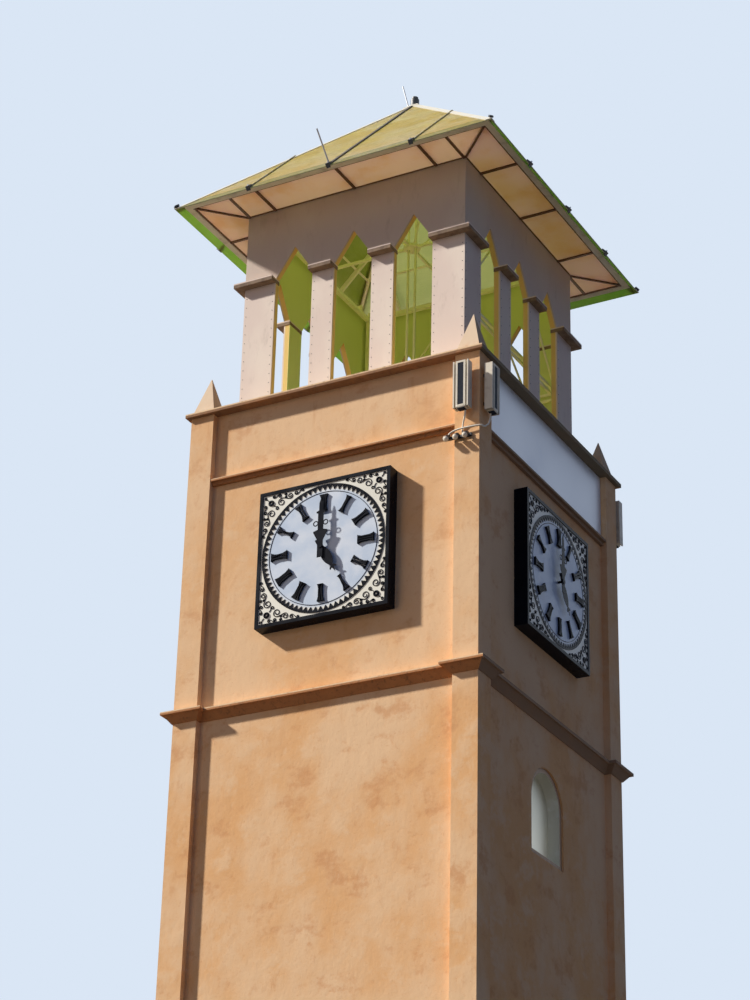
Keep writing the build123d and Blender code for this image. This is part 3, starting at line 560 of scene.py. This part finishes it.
def slot_finishes(hues):
    """One look for each material slot of the record."""
    # What paint_finish is told of each plain paint
    paints = {
        "batten_brown": (hues.batten, hues.rib_dark, 0.55),
        "clamp_dark": (hues.black, hues.rib_dark, 0.5, 12.0),
        "rod_metal": (hues.panel, hues.lining, 0.35, 9.0),
        "beacon_black": (hues.black, hues.lining, 0.4, 14.0),
        "clock_black": (hues.black, hues.black_worn, 0.3, 5.0, 0.0005, 0.0, 0.07),
        "speaker_cream": (hues.speaker, hues.shade_and_dirt, 0.5, 10.0),
        "lead_white": (hues.fascia, hues.trim, 0.6, 20.0),
    }
    return {
        "stucco": stucco_finish(hues),
        "plinth_stone": plinth_finish(hues),
        "white_panel": paint_finish("frieze_white", hues.panel, hues.dial, 0.45, 1.2, metallic=0.22),
        "window_frame": lining_finish(hues),
        "window_glass": glass_finish(hues),
        "cladding_boards": board_finish(hues),
        "soffit_cream": soffit_finish(hues),
        "roof_sheet": roof_sheet_finish(hues),
        "roof_trim": trim_finish(hues),
        "steel_lime": steel_finish(hues),
        "dial_face": dial_finish(hues),
        "speaker_grille": grille_finish(hues),
        **{name: paint_finish(name, *values) for name, values in paints.items()},
    }


def node_finishes(hues):
    """The looks of nodes that differ from those of their slots."""
    return {
        "roof_ribs": rib_finish(hues),
        "pier_caps": cap_finish(hues),
        "fascia": paint_finish("fascia_cream", hues.fascia, hues.shade_and_dirt, 0.6, 5.0),
        "corner_pinnacles": pinnacle_finish(hues),
        "mid_cornice": moulding_finish(hues, hues.moulding, hues.ledge_shade, cornice_high.z, 0.018),
        "belfry_floor": moulding_finish(hues, hues.cornice, hues.cornice_shade, floor_high.z, 0.022),
        "upper_strings": moulding_finish(hues, hues.moulding, hues.ledge_shade, string_top, 0.012),
    }


finishes = {}


def clear_selection():
    if bpy.context.object and bpy.context.object.mode != "OBJECT":
        bpy.ops.object.mode_set(mode="OBJECT")
    bpy.ops.object.select_all(action="DESELECT")


def pick(*objects):
    """Selects only these objects, the first one active."""
    clear_selection()
    for obj in objects:
        obj.select_set(True)
    bpy.context.view_layer.objects.active = objects[0]


def added(add, location=(0, 0, 0), scale=(1, 1, 1), **settings):
    """Adds one of Blender's primitives, scaled to a size, with its place in its mesh."""
    clear_selection()
    add(location=location, **settings)
    obj = bpy.context.object
    obj.scale = scale
    pick(obj)
    bpy.ops.object.transform_apply(location=True, rotation=True, scale=True)
    return obj


def joined(objects):
    pick(*objects)
    if len(objects) > 1:
        bpy.ops.object.join()
    return bpy.context.object


def copied(obj, matrix):
    """A copy with its own mesh, moved by a matrix within the mesh."""
    pick(obj)
    bpy.ops.object.duplicate(linked=False)
    copy = bpy.context.object
    copy.data.transform(matrix)
    return copy


def quarter_turn(count, axis="Z"):
    return Matrix.Rotation(radians(90 * count), 4, axis)


def all_round(obj, axis="Z"):
    """The piece and its copies at the other three quarter turns, as one: about Z, one on each face."""
    return joined([obj] + [copied(obj, quarter_turn(count, axis)) for count in (1, 2, 3)])


def with_modifier(obj, kind, **settings):
    pick(obj)
    modifier = obj.modifiers.new(kind.title(), kind)
    for key, value in settings.items():
        setattr(modifier, key, value)
    bpy.ops.object.modifier_apply(modifier=modifier.name)
    return obj


def bevelled(obj, width=0.002, segments=1):
    return with_modifier(obj, "BEVEL", width=width, segments=segments)


def outward(obj):
    """Merges doubles and turns all faces outwards."""
    pick(obj)
    bpy.ops.object.mode_set(mode="EDIT")
    bpy.ops.mesh.select_all(action="SELECT")
    bpy.ops.mesh.remove_doubles(threshold=0.00005)
    bpy.ops.mesh.normals_make_consistent(inside=False)
    bpy.ops.object.mode_set(mode="OBJECT")
    return obj


def finished(obj, name, slot):
    """Names a piece that stands on the tower and gives it the finish of its slot."""
    obj.name = name
    obj.data.name = name
    obj.data.materials.clear()
    obj.data.materials.append(finishes[slot].material)
    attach(obj, "tower")
    return obj


def select_where(obj, test):
    """In edit mode, selects the vertices that pass a test."""
    bpy.ops.object.mode_set(mode="OBJECT")
    chosen = [test(vertex) for vertex in obj.data.vertices]
    for part in (obj.data.edges, obj.data.polygons):
        part.foreach_set("select", [False] * len(part))
    obj.data.vertices.foreach_set("select", chosen)
    bpy.ops.object.mode_set(mode="EDIT")
    bpy.ops.mesh.select_mode(type="VERT")


def edit_faces(obj):
    """In edit mode, selects all the faces."""
    pick(obj)
    bpy.ops.object.mode_set(mode="EDIT")
    bpy.ops.mesh.select_mode(type="FACE")
    bpy.ops.mesh.select_all(action="SELECT")


def resize_edit(share, middle=(0, 0, 0)):
    """Scales what is selected in edit mode about a point."""
    bpy.ops.transform.resize(value=share, center_override=middle)


def axes_matrix(x, y, z):
    """A turn that takes X, Y and Z to three directions."""
    return Matrix((x, y, z)).transposed().to_4x4()


class TOWER_OT_finishes(bpy.types.Operator):
    """Give every CAD node the finish of its material slot"""

    bl_idname = "tower.finishes"
    bl_label = "Finishes"

    def execute(self, context):
        finishes.update(slot_finishes(context.scene.tower_finishes))
        own = node_finishes(context.scene.tower_finishes)
        slots = {part["node"]: part["material_slot"] for part in frame["record"]["subparts"]}
        for name, obj in frame["nodes"].items():
            obj.data.materials.clear()
            look = own.get(name) or finishes[slots[name]]
            obj.data.materials.append(look.material)
        return {"FINISHED"}


def annulus(outer, inner, sides):
    """A flat ring facing the front, left in edit mode with its inner edge selected."""
    ring = added(bpy.ops.mesh.primitive_circle_add, vertices=sides, radius=outer, rotation=facing_front)
    bpy.ops.object.mode_set(mode="EDIT")
    bpy.ops.mesh.select_all(action="SELECT")
    bpy.ops.mesh.extrude_region_move()
    resize_edit((inner / outer, 1, inner / outer))
    return ring


def onto_dial(obj, depth):
    """Gives a flat ring its thickness and stands it on the front dial."""
    with_modifier(outward(obj), "SOLIDIFY", thickness=depth, offset=0)
    obj.data.transform(Matrix.Translation((0, -dial_front - depth / 2, dial_z)))
    return obj


class TOWER_OT_dial_rings(bpy.types.Operator):
    """Add the toothed ring and the thin line of each dial"""

    bl_idname = "tower.dial_rings"
    bl_label = "Dial rings"

    def execute(self, context):
        sizes = context.scene.tower_dial
        band = sizes.ring_radius - sizes.ring_band
        step = tau / sizes.teeth
        ring = annulus(sizes.ring_radius, band, 2 * sizes.teeth)
        bpy.ops.mesh.extrude_region_move()

        def is_tip(vertex):
            turn = atan2(vertex.co.z, vertex.co.x) / step
            return vertex.select and abs(turn - round(turn)) < 0.1

        select_where(ring, is_tip)
        share = (band - sizes.tooth) / band
        resize_edit((share, 1, share))
        onto_dial(ring, 0.008)
        line = onto_dial(annulus(sizes.line_radius, sizes.line_radius - sizes.line_width, 144), 0.004)
        finished(all_round(joined([ring, line])), "dial_rings", "clock_black")
        return {"FINISHED"}


def numeral_stroke(width, height, depth, lean, middle):
    """An upright bar with flared ends, leaned by an offset between its foot and its head."""
    bar = added(bpy.ops.mesh.primitive_cube_add, scale=(width, depth, height * 0.5), size=1)
    for end in (1, -1):
        select_where(bar, lambda vertex: vertex.co.z * end > 0)
        bpy.ops.mesh.select_mode(type="FACE")
        for rise, flare in ((0.19, 0.01), (0.06, 0.022)):
            bpy.ops.mesh.extrude_region_move(TRANSFORM_OT_translate={"value": (0, 0, end * height * rise)})
            resize_edit((1.0 + flare / width, 1, 1))
    bpy.ops.object.mode_set(mode="OBJECT")
    shear = Matrix.Identity(4)
    shear[0][2] = lean / height
    bar.data.transform(Matrix.Translation((middle, 0, 0)) @ shear)
    return bar


def numeral(text, sizes):
    """A Roman numeral with a waist, its middle at the origin, facing the front."""
    unit = 0.05
    stroke = 0.036
    # Of each letter, its advance and the width, lean and shift of its strokes
    letters = {
        "I": (unit, [(stroke, 0, 0)]),
        "V": (1.9 * unit, [(stroke, -0.7 * unit, -0.35 * unit), (0.7 * stroke, 0.7 * unit, 0.35 * unit)]),
        "X": (1.9 * unit, [(stroke, -0.9 * unit, 0), (0.7 * stroke, 0.9 * unit, 0)]),
    }
    place = -sum(letters[letter][0] for letter in text) / 2
    bars = []
    for letter in text:
        advance, strokes = letters[letter]
        for width, lean, shift in strokes:
            middle = place + advance / 2 + shift
            bars.append(numeral_stroke(width, sizes.numeral_height, sizes.numeral_depth, lean, middle))
        place += advance
    made = joined(bars)
    select_where(made, lambda vertex: abs(vertex.co.z) < sizes.numeral_height * 0.3)
    resize_edit((0.8, 1, 1))
    bpy.ops.object.mode_set(mode="OBJECT")
    share = {"I": 0.72, "V": 0.8, "X": 0.8, "II": 0.88, "VI": 0.84, "XI": 0.84}.get(text, 0.96)
    made.data.transform(Matrix.Diagonal((sizes.numeral_width * share / made.dimensions.x, 1, 1, 1)))
    return made


class TOWER_OT_dial_numerals(bpy.types.Operator):
    """Add the raised Roman numerals of each dial"""

    bl_idname = "tower.dial_numerals"
    bl_label = "Dial numerals"

    def execute(self, context):
        sizes = context.scene.tower_dial
        texts = ["XII", "I", "II", "III", "IV", "V", "VI", "VII", "VIII", "IX", "X", "XI"]
        middle = Matrix.Translation((0, -dial_front, dial_z))
        out = Matrix.Translation((0, -sizes.numeral_depth / 2, sizes.numeral_radius))
        made = []
        for hour, text in enumerate(texts):
            sign = numeral(text, sizes)
            sign.data.transform(middle @ Matrix.Rotation(radians(30 * hour), 4, "Y") @ out)
            made.append(sign)
        finished(all_round(bevelled(joined(made))), "dial_numerals", "clock_black")
        return {"FINISHED"}


def volute(centre, radius, start, turns, way):
    """Points of a spiral from its eye outwards, ending at the start angle."""
    points = []
    count = round(9 * turns)
    for i in range(count + 1):
        reach = radius * (0.3 + 0.7 * i / count)
        angle = start - way * tau * turns * (1 - i / count)
        points.append((centre[0] + reach * cos(angle), centre[1] + reach * sin(angle)))
    return points


def double_scroll(first, r1, second, r2, way, turns=1.35):
    """Two spirals joined by a line that touches both."""
    dx, dz = second[0] - first[0], second[1] - first[1]
    lean = acos(min(1.0, (r1 + r2) / hypot(dx, dz)))
    start = atan2(dz, dx) - way * lean
    return volute(first, r1, start, turns, way) + volute(second, r2, start + pi, turns, way)[::-1]


def smooth_line(points, radius, steps, roundness):
    """A round line along a smooth curve with these points as its control points."""
    clear_selection()
    bpy.ops.curve.primitive_nurbs_path_add(location=(0, 0, 0))
    curve = bpy.context.object
    curve.data.splines.clear()
    spline = curve.data.splines.new("NURBS")
    spline.points.add(len(points) - 1)
    for point, place in zip(spline.points, points):
        point.co = (*place, 1)
    spline.order_u = 3
    spline.use_endpoint_u = True
    curve.data.resolution_u = steps
    curve.data.bevel_depth = radius
    curve.data.bevel_resolution = roundness
    curve.data.use_fill_caps = True
    return curve


def wire(points, radius):
    """A raised line through points on the front dial."""
    pick(smooth_line([(x, 0, z) for x, z in points], radius, 3, 0))
    bpy.ops.object.convert(target="MESH")
    return bpy.context.object


class TOWER_OT_dial_scrolls(bpy.types.Operator):
    """Add the scrollwork and the rosettes in the corners of each dial"""

    bl_idname = "tower.dial_scrolls"
    bl_label = "Dial scrollwork"

    def execute(self, context):
        radius = context.scene.tower_dial.scroll_wire
        corner = dial_half - 0.112
        # Of each curl, the middle and the radius of both spirals, and the way that it turns
        curls = [
            ((0.603, 0.741), 0.058, (0.486, 0.804), 0.042, 1),
            ((0.634, 0.829), 0.026, (0.712, 0.832), 0.022, -1),
            ((0.398, 0.826), 0.03, (0.312, 0.842), 0.02, -1),
            ((0.552, 0.838), 0.019, (0.543, 0.795), 0.016, 1),
        ]
        routes = []
        for curl in curls:
            route = double_scroll(*curl)
            routes += [route, [(z, x) for x, z in route]]
        tip = volute((0.829, 0.829), 0.021, radians(225), 1.2, 1)
        root = volute((0.668, 0.668), 0.028, radians(45), 1.2, 1)
        routes += [tip + [(corner + 0.035, corner + 0.035)], root + [(corner - 0.035, corner - 0.035)]]
        rosette = added(
            bpy.ops.mesh.primitive_torus_add, (corner, 0, corner), rotation=facing_front,
            major_radius=0.027, minor_radius=0.0145, major_segments=24, minor_segments=6,
        )
        scrolls = all_round(joined([wire(route, radius) for route in routes] + [rosette]), "Y")
        scrolls.data.transform(Matrix.Translation((0, -dial_front - radius * 0.6, dial_z)))
        finished(all_round(scrolls), "dial_scrolls", "clock_black")
        return {"FINISHED"}


class TOWER_OT_board_screws(bpy.types.Operator):
    """Add the rows of screws along the edges of the belfry boards"""

    bl_idname = "tower.board_screws"
    bl_label = "Board screws"

    def execute(self, context):
        sizes = context.scene.tower_belfry
        low = pier_low.z + 0.09
        high = pier_high.z - 0.05
        screw = added(
            bpy.ops.mesh.primitive_cylinder_add, vertices=8, radius=sizes.screw_radius, depth=0.006,
            rotation=facing_front,
        )
        row = with_modifier(
            bevelled(screw), "ARRAY", count=int((high - low) / sizes.screw_pitch) + 1,
            use_relative_offset=False, use_constant_offset=True,
            constant_offset_displace=(0, 0, sizes.screw_pitch),
        )
        row.data.transform(Matrix.Translation((0, -belfry_half - 0.002, low)))
        edges = (
            belfry_half - corner_pier_w + sizes.screw_inset, belfry_half - sizes.screw_inset,
            slim_pier_edges[0] + sizes.screw_inset, slim_pier_edges[1] - sizes.screw_inset,
        )
        first, *others = [Matrix.Translation((side * x, 0, 0)) for x in edges for side in (-1, 1)]
        rows = [copied(row, place) for place in others]
        row.data.transform(first)
        finished(all_round(joined([row] + rows)), "board_screws", "clamp_dark")
        return {"FINISHED"}


def square_ring(outer, width, z, depth):
    """A level square frame, its underside at z."""
    plate = added(bpy.ops.mesh.primitive_plane_add, (0, 0, z), size=2 * outer)
    edit_faces(plate)
    bpy.ops.mesh.inset(thickness=width)
    bpy.ops.mesh.delete(type="FACE")
    bpy.ops.mesh.select_all(action="SELECT")
    bpy.ops.mesh.extrude_region_move(TRANSFORM_OT_translate={"value": (0, 0, depth)})
    return outward(plate)


class TOWER_OT_eaves_strips(bpy.types.Operator):
    """Add the dark strips round the outer and the inner edge of the soffit"""

    bl_idname = "tower.eaves_strips"
    bl_label = "Eaves strips"

    def execute(self, context):
        width = context.scene.tower_belfry.edge_strip
        inner_width = width * 0.7
        depth = 0.012
        z = soffit_low.z - depth
        outer = square_ring(soffit_high.x, width, z, depth)
        inner = square_ring(belfry_half + inner_width, inner_width, z, depth)
        finished(bevelled(joined([outer, inner])), "eaves_strips", "batten_brown")
        return {"FINISHED"}


class TOWER_OT_loudspeaker_ends(bpy.types.Operator):
    """Add the rounded feet of the column loudspeakers and the dark plates under them"""

    bl_idname = "tower.loudspeaker_ends"
    bl_label = "Loudspeaker ends"

    def execute(self, context):
        column_mid = shaft_half - column_w / 2
        # Of each kind of end, its name, its slot, its height above the feet of the bodies and its size
        ends = (
            ("loudspeaker_plates", "speaker_grille", -0.016, (0.1, 0.08, 0.012)),
            ("loudspeaker_feet", "speaker_cream", 0.012, (0.132, 0.1, 0.05)),
        )
        for name, slot, up, sides in ends:
            made = []
            for face, shift in enumerate(speaker_shift):
                hand = 1 if face == 0 else -1
                middle = (hand * (column_mid + shift), -shaft_half - speaker_out, speaker_foot + up)
                piece = added(bpy.ops.mesh.primitive_cube_add, middle, sides, size=1)
                select_where(piece, lambda vertex: vertex.co.z < middle[2])
                resize_edit((0.9, 0.9, 1), middle)
                bevelled(piece, min(0.016, sides[2] * 0.4), 3).data.transform(quarter_turn(face))
                made.append(piece)
            finished(joined(made), name, slot)
        return {"FINISHED"}


class TOWER_OT_leads(bpy.types.Operator):
    """Hang the leads of the loudspeakers on smooth curves"""

    bl_idname = "tower.leads"
    bl_label = "Loudspeaker leads"

    def execute(self, context):
        diameter = context.scene.tower_belfry.lead_diameter
        # Of each lead, its length and its route from the foot of its loudspeaker
        routes = {
            "lead_front": (
                0.33,
                [
                    (1.902, -2.132, 16.045), (1.902, -2.132, 15.96), (1.83, -2.062, 15.86),
                    (1.83, -2.062, 15.74),
                ],
            ),
            "lead_right": (
                0.79,
                [
                    (2.132, -1.915, 16.045), (2.132, -1.915, 15.91), (2.095, -2.005, 15.81),
                    (2.095, -2.095, 15.81), (1.657, -2.095, 15.81), (1.657, -2.095, 15.732),
                ],
            ),
            "lead_back": (0.136, [(1.975, 2.132, 16.045), (1.975, 2.132, 15.96), (1.975, 2.05, 15.96)]),
            "lead_left": (0.136, [(-2.132, 1.87, 16.045), (-2.132, 1.87, 15.96), (-2.05, 1.87, 15.96)]),
        }
        for name, (length, points) in routes.items():
            lead = finished(smooth_line(points, diameter / 2, 12, 3), name, "lead_white")
            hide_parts("speaker_leads")
        return {"FINISHED"}


class TOWER_OT_clamp_bolts(bpy.types.Operator):
    """Add a bolt and a washer on each eave clamp"""

    bl_idname = "tower.clamp_bolts"
    bl_label = "Clamp bolts"

    def execute(self, context):
        cylinder = bpy.ops.mesh.primitive_cylinder_add
        radius = context.scene.tower_belfry.bolt_radius
        slope = atan2(roof_rise, eave)
        right = Vector((1, 0, 0))
        up = Vector((0, cos(slope), sin(slope)))
        out = Vector((0, -sin(slope), cos(slope)))
        turn = axes_matrix(right, up, out)
        made = []
        for x in (-rib_pitch, 0, rib_pitch):
            washer = added(cylinder, (0, 0, 0.002), vertices=16, radius=radius * 1.7, depth=0.004)
            head = added(cylinder, (0, 0, 0.011), vertices=6, radius=radius, depth=0.014)
            bolt = joined([washer, head])
            seat = Vector((x, -eave, eave_z)) + up * 0.019 + out * 0.032
            bolt.data.transform(Matrix.Translation(seat) @ turn)
            made.append(bolt)
        finished(all_round(bevelled(joined(made), 0.0015)), "clamp_bolts", "rod_metal")
        return {"FINISHED"}


class TOWER_OT_hip_clips(bpy.types.Operator):
    """Add the dark clip at the lower end of each hip"""

    bl_idname = "tower.hip_clips"
    bl_label = "Hip clips"

    def execute(self, context):
        length, width, height = 0.066, 0.05, 0.024
        diagonal = sqrt(2)
        clip = added(bpy.ops.mesh.primitive_cube_add, scale=(length, width, height), size=1)
        edit_faces(clip)
        bpy.ops.mesh.inset(thickness=0.01, use_individual=True, depth=0.004)
        bevelled(clip, 0.004, 2)
        lean = Matrix.Rotation(atan2(roof_rise, eave * diagonal), 4, "Y")
        clip.data.transform(lean @ Matrix.Translation((0, 0, height / 2)))
        clip.data.transform(Matrix.Translation(((eave - 0.024) * diagonal, 0, eave_z + 0.042)))
        clip.data.transform(Matrix.Rotation(radians(-45), 4, "Z"))
        finished(all_round(clip), "hip_clips", "clamp_dark")
        return {"FINISHED"}


class TOWER_OT_lamp_glasses(bpy.types.Operator):
    """Add the domed glasses of the small lamps beside the loudspeaker"""

    bl_idname = "tower.lamp_glasses"
    bl_label = "Lamp glasses"

    def execute(self, context):
        middle = (lamp_low.x + lamp_high.x) / 2
        axis = Vector((0, -cos(lamp_tilt), -sin(lamp_tilt)))
        back = Vector((middle, -shaft_half - lamp_out, lamp_high.z - lamp_r * cos(lamp_tilt)))
        turn = Vector((0, 0, 1)).rotation_difference(axis).to_matrix().to_4x4()
        made = []
        for x in (-lamp_pitch, 0, lamp_pitch):
            dome = added(bpy.ops.mesh.primitive_uv_sphere_add, radius=0.031, segments=20, ring_count=12)
            edit_faces(dome)
            bpy.ops.mesh.bisect(plane_co=(0, 0, 0), plane_no=(0, 0, 1), use_fill=True, clear_inner=True)
            bpy.ops.object.mode_set(mode="OBJECT")
            dome.data.transform(Matrix.Diagonal((1, 1, 0.6, 1)))
            rim = added(
                bpy.ops.mesh.primitive_torus_add, major_radius=0.033, minor_radius=0.004,
                major_segments=24, minor_segments=6,
            )
            glass = joined([dome, rim])
            glass.data.transform(Matrix.Translation(back + axis * lamp_len + Vector((x, 0, 0))) @ turn)
            made.append(glass)
        glasses = joined(made)
        bpy.ops.object.shade_smooth()
        finished(glasses, "lamp_glasses", "lead_white")
        return {"FINISHED"}


class TOWER_OT_stage(bpy.types.Operator):
    """Add the floor, the light and the camera"""

    bl_idname = "tower.stage"
    bl_label = "Stage"

    def execute(self, context):
        stage = context.scene.tower_stage
        ground = added(bpy.ops.mesh.primitive_plane_add, (0, 0, -0.002), size=240)
        ground.name = "floor"
        pale = Look("pale_floor", stage.floor, 0.9)
        pale.paint(pale.blend(pale.seen(), stage.floor_bounce, stage.floor))
        ground.data.materials.append(pale.material)

        # Of each light, its name, strength, angles to the left and up, width in degrees and colour
        lights = (
            ("key_light", stage.sun_strength, stage.sun_left, stage.sun_up, 3, (1.0, 0.95, 0.87)),
            ("reflected_light", stage.glow_strength, radians(25), radians(8), 30, (1.0, 0.7, 0.38)),
        )
        for name, strength, left, above, spread, colour in lights:
            bpy.ops.object.light_add(type="SUN", location=(-30, -20, 30))
            sun = bpy.context.object
            sun.name = name
            sun.data.energy = strength
            sun.data.angle = radians(spread)
            sun.data.color = colour
            level = cos(above)
            towards = Vector((-sin(left) * level, -cos(left) * level, sin(above)))
            sun.rotation_euler = towards.to_track_quat("Z", "Y").to_euler()

        world = bpy.data.worlds.new("studio")
        context.scene.world = world
        world.use_nodes = True
        sky = Nodes(world.node_tree)
        fill = sky.nodes["Background"]
        fill.inputs["Color"].default_value = (*stage.sky, 1)
        fill.inputs["Strength"].default_value = stage.sky_strength
        backdrop = sky.node("ShaderNodeBackground", {"Color": (*stage.backdrop, 1)})
        sky.show("World Output", sky.seen(), fill, backdrop)

        camera = bpy.data.objects.new("camera", bpy.data.cameras.new("camera"))
        context.scene.collection.objects.link(camera)
        level = cos(camera_pitch)
        ahead = Vector((-sin(camera_yaw) * level, cos(camera_yaw) * level, sin(camera_pitch)))
        right = Vector((cos(camera_yaw), sin(camera_yaw), 0))
        up = right.cross(ahead)
        tilted = right * cos(camera_roll) + up * sin(camera_roll)
        upright = up * cos(camera_roll) - right * sin(camera_roll)
        camera.matrix_world = Matrix.Translation(camera_place) @ axes_matrix(tilted, upright, -ahead)
        camera.data.lens = stage.lens
        camera.data.sensor_width = 36
        camera.data.clip_end = 400
        context.scene.camera = camera
        context.scene.view_settings.view_transform = "Standard"
        return {"FINISHED"}


class TOWER_PT_dressing(bpy.types.Panel):
    """Lists the steps of the tower's dressing"""

    bl_idname = "TOWER_PT_dressing"
    bl_label = "Clock tower"
    bl_space_type = "VIEW_3D"
    bl_region_type = "UI"
    bl_category = "Tower"

    def draw(self, context):
        for step in steps:
            self.layout.operator(step.bl_idname)
        for settings in groups:
            box = self.layout.box()
            group = getattr(context.scene, settings)
            for name in group.__annotations__:
                box.prop(group, name)


groups = {
    "tower_finishes": FinishSettings,
    "tower_dial": DialSettings,
    "tower_belfry": BelfrySettings,
    "tower_stage": StageSettings,
}
steps = [
    TOWER_OT_finishes,
    TOWER_OT_dial_rings,
    TOWER_OT_dial_numerals,
    TOWER_OT_dial_scrolls,
    TOWER_OT_board_screws,
    TOWER_OT_eaves_strips,
    TOWER_OT_loudspeaker_ends,
    TOWER_OT_leads,
    TOWER_OT_clamp_bolts,
    TOWER_OT_hip_clips,
    TOWER_OT_lamp_glasses,
    TOWER_OT_stage,
]


def register():
    for name, group in groups.items():
        bpy.utils.register_class(group)
        setattr(bpy.types.Scene, name, bpy.props.PointerProperty(type=group))
    for step in steps:
        bpy.utils.register_class(step)
    bpy.utils.register_class(TOWER_PT_dressing)


def unregister():
    bpy.utils.unregister_class(TOWER_PT_dressing)
    for step in reversed(steps):
        bpy.utils.unregister_class(step)
    for name, group in groups.items():
        delattr(bpy.types.Scene, name)
        bpy.utils.unregister_class(group)


def main():
    register()
    for step in steps:
        group, name = step.bl_idname.split(".")
        getattr(getattr(bpy.ops, group), name)()


if __name__ == "__main__":
    main()
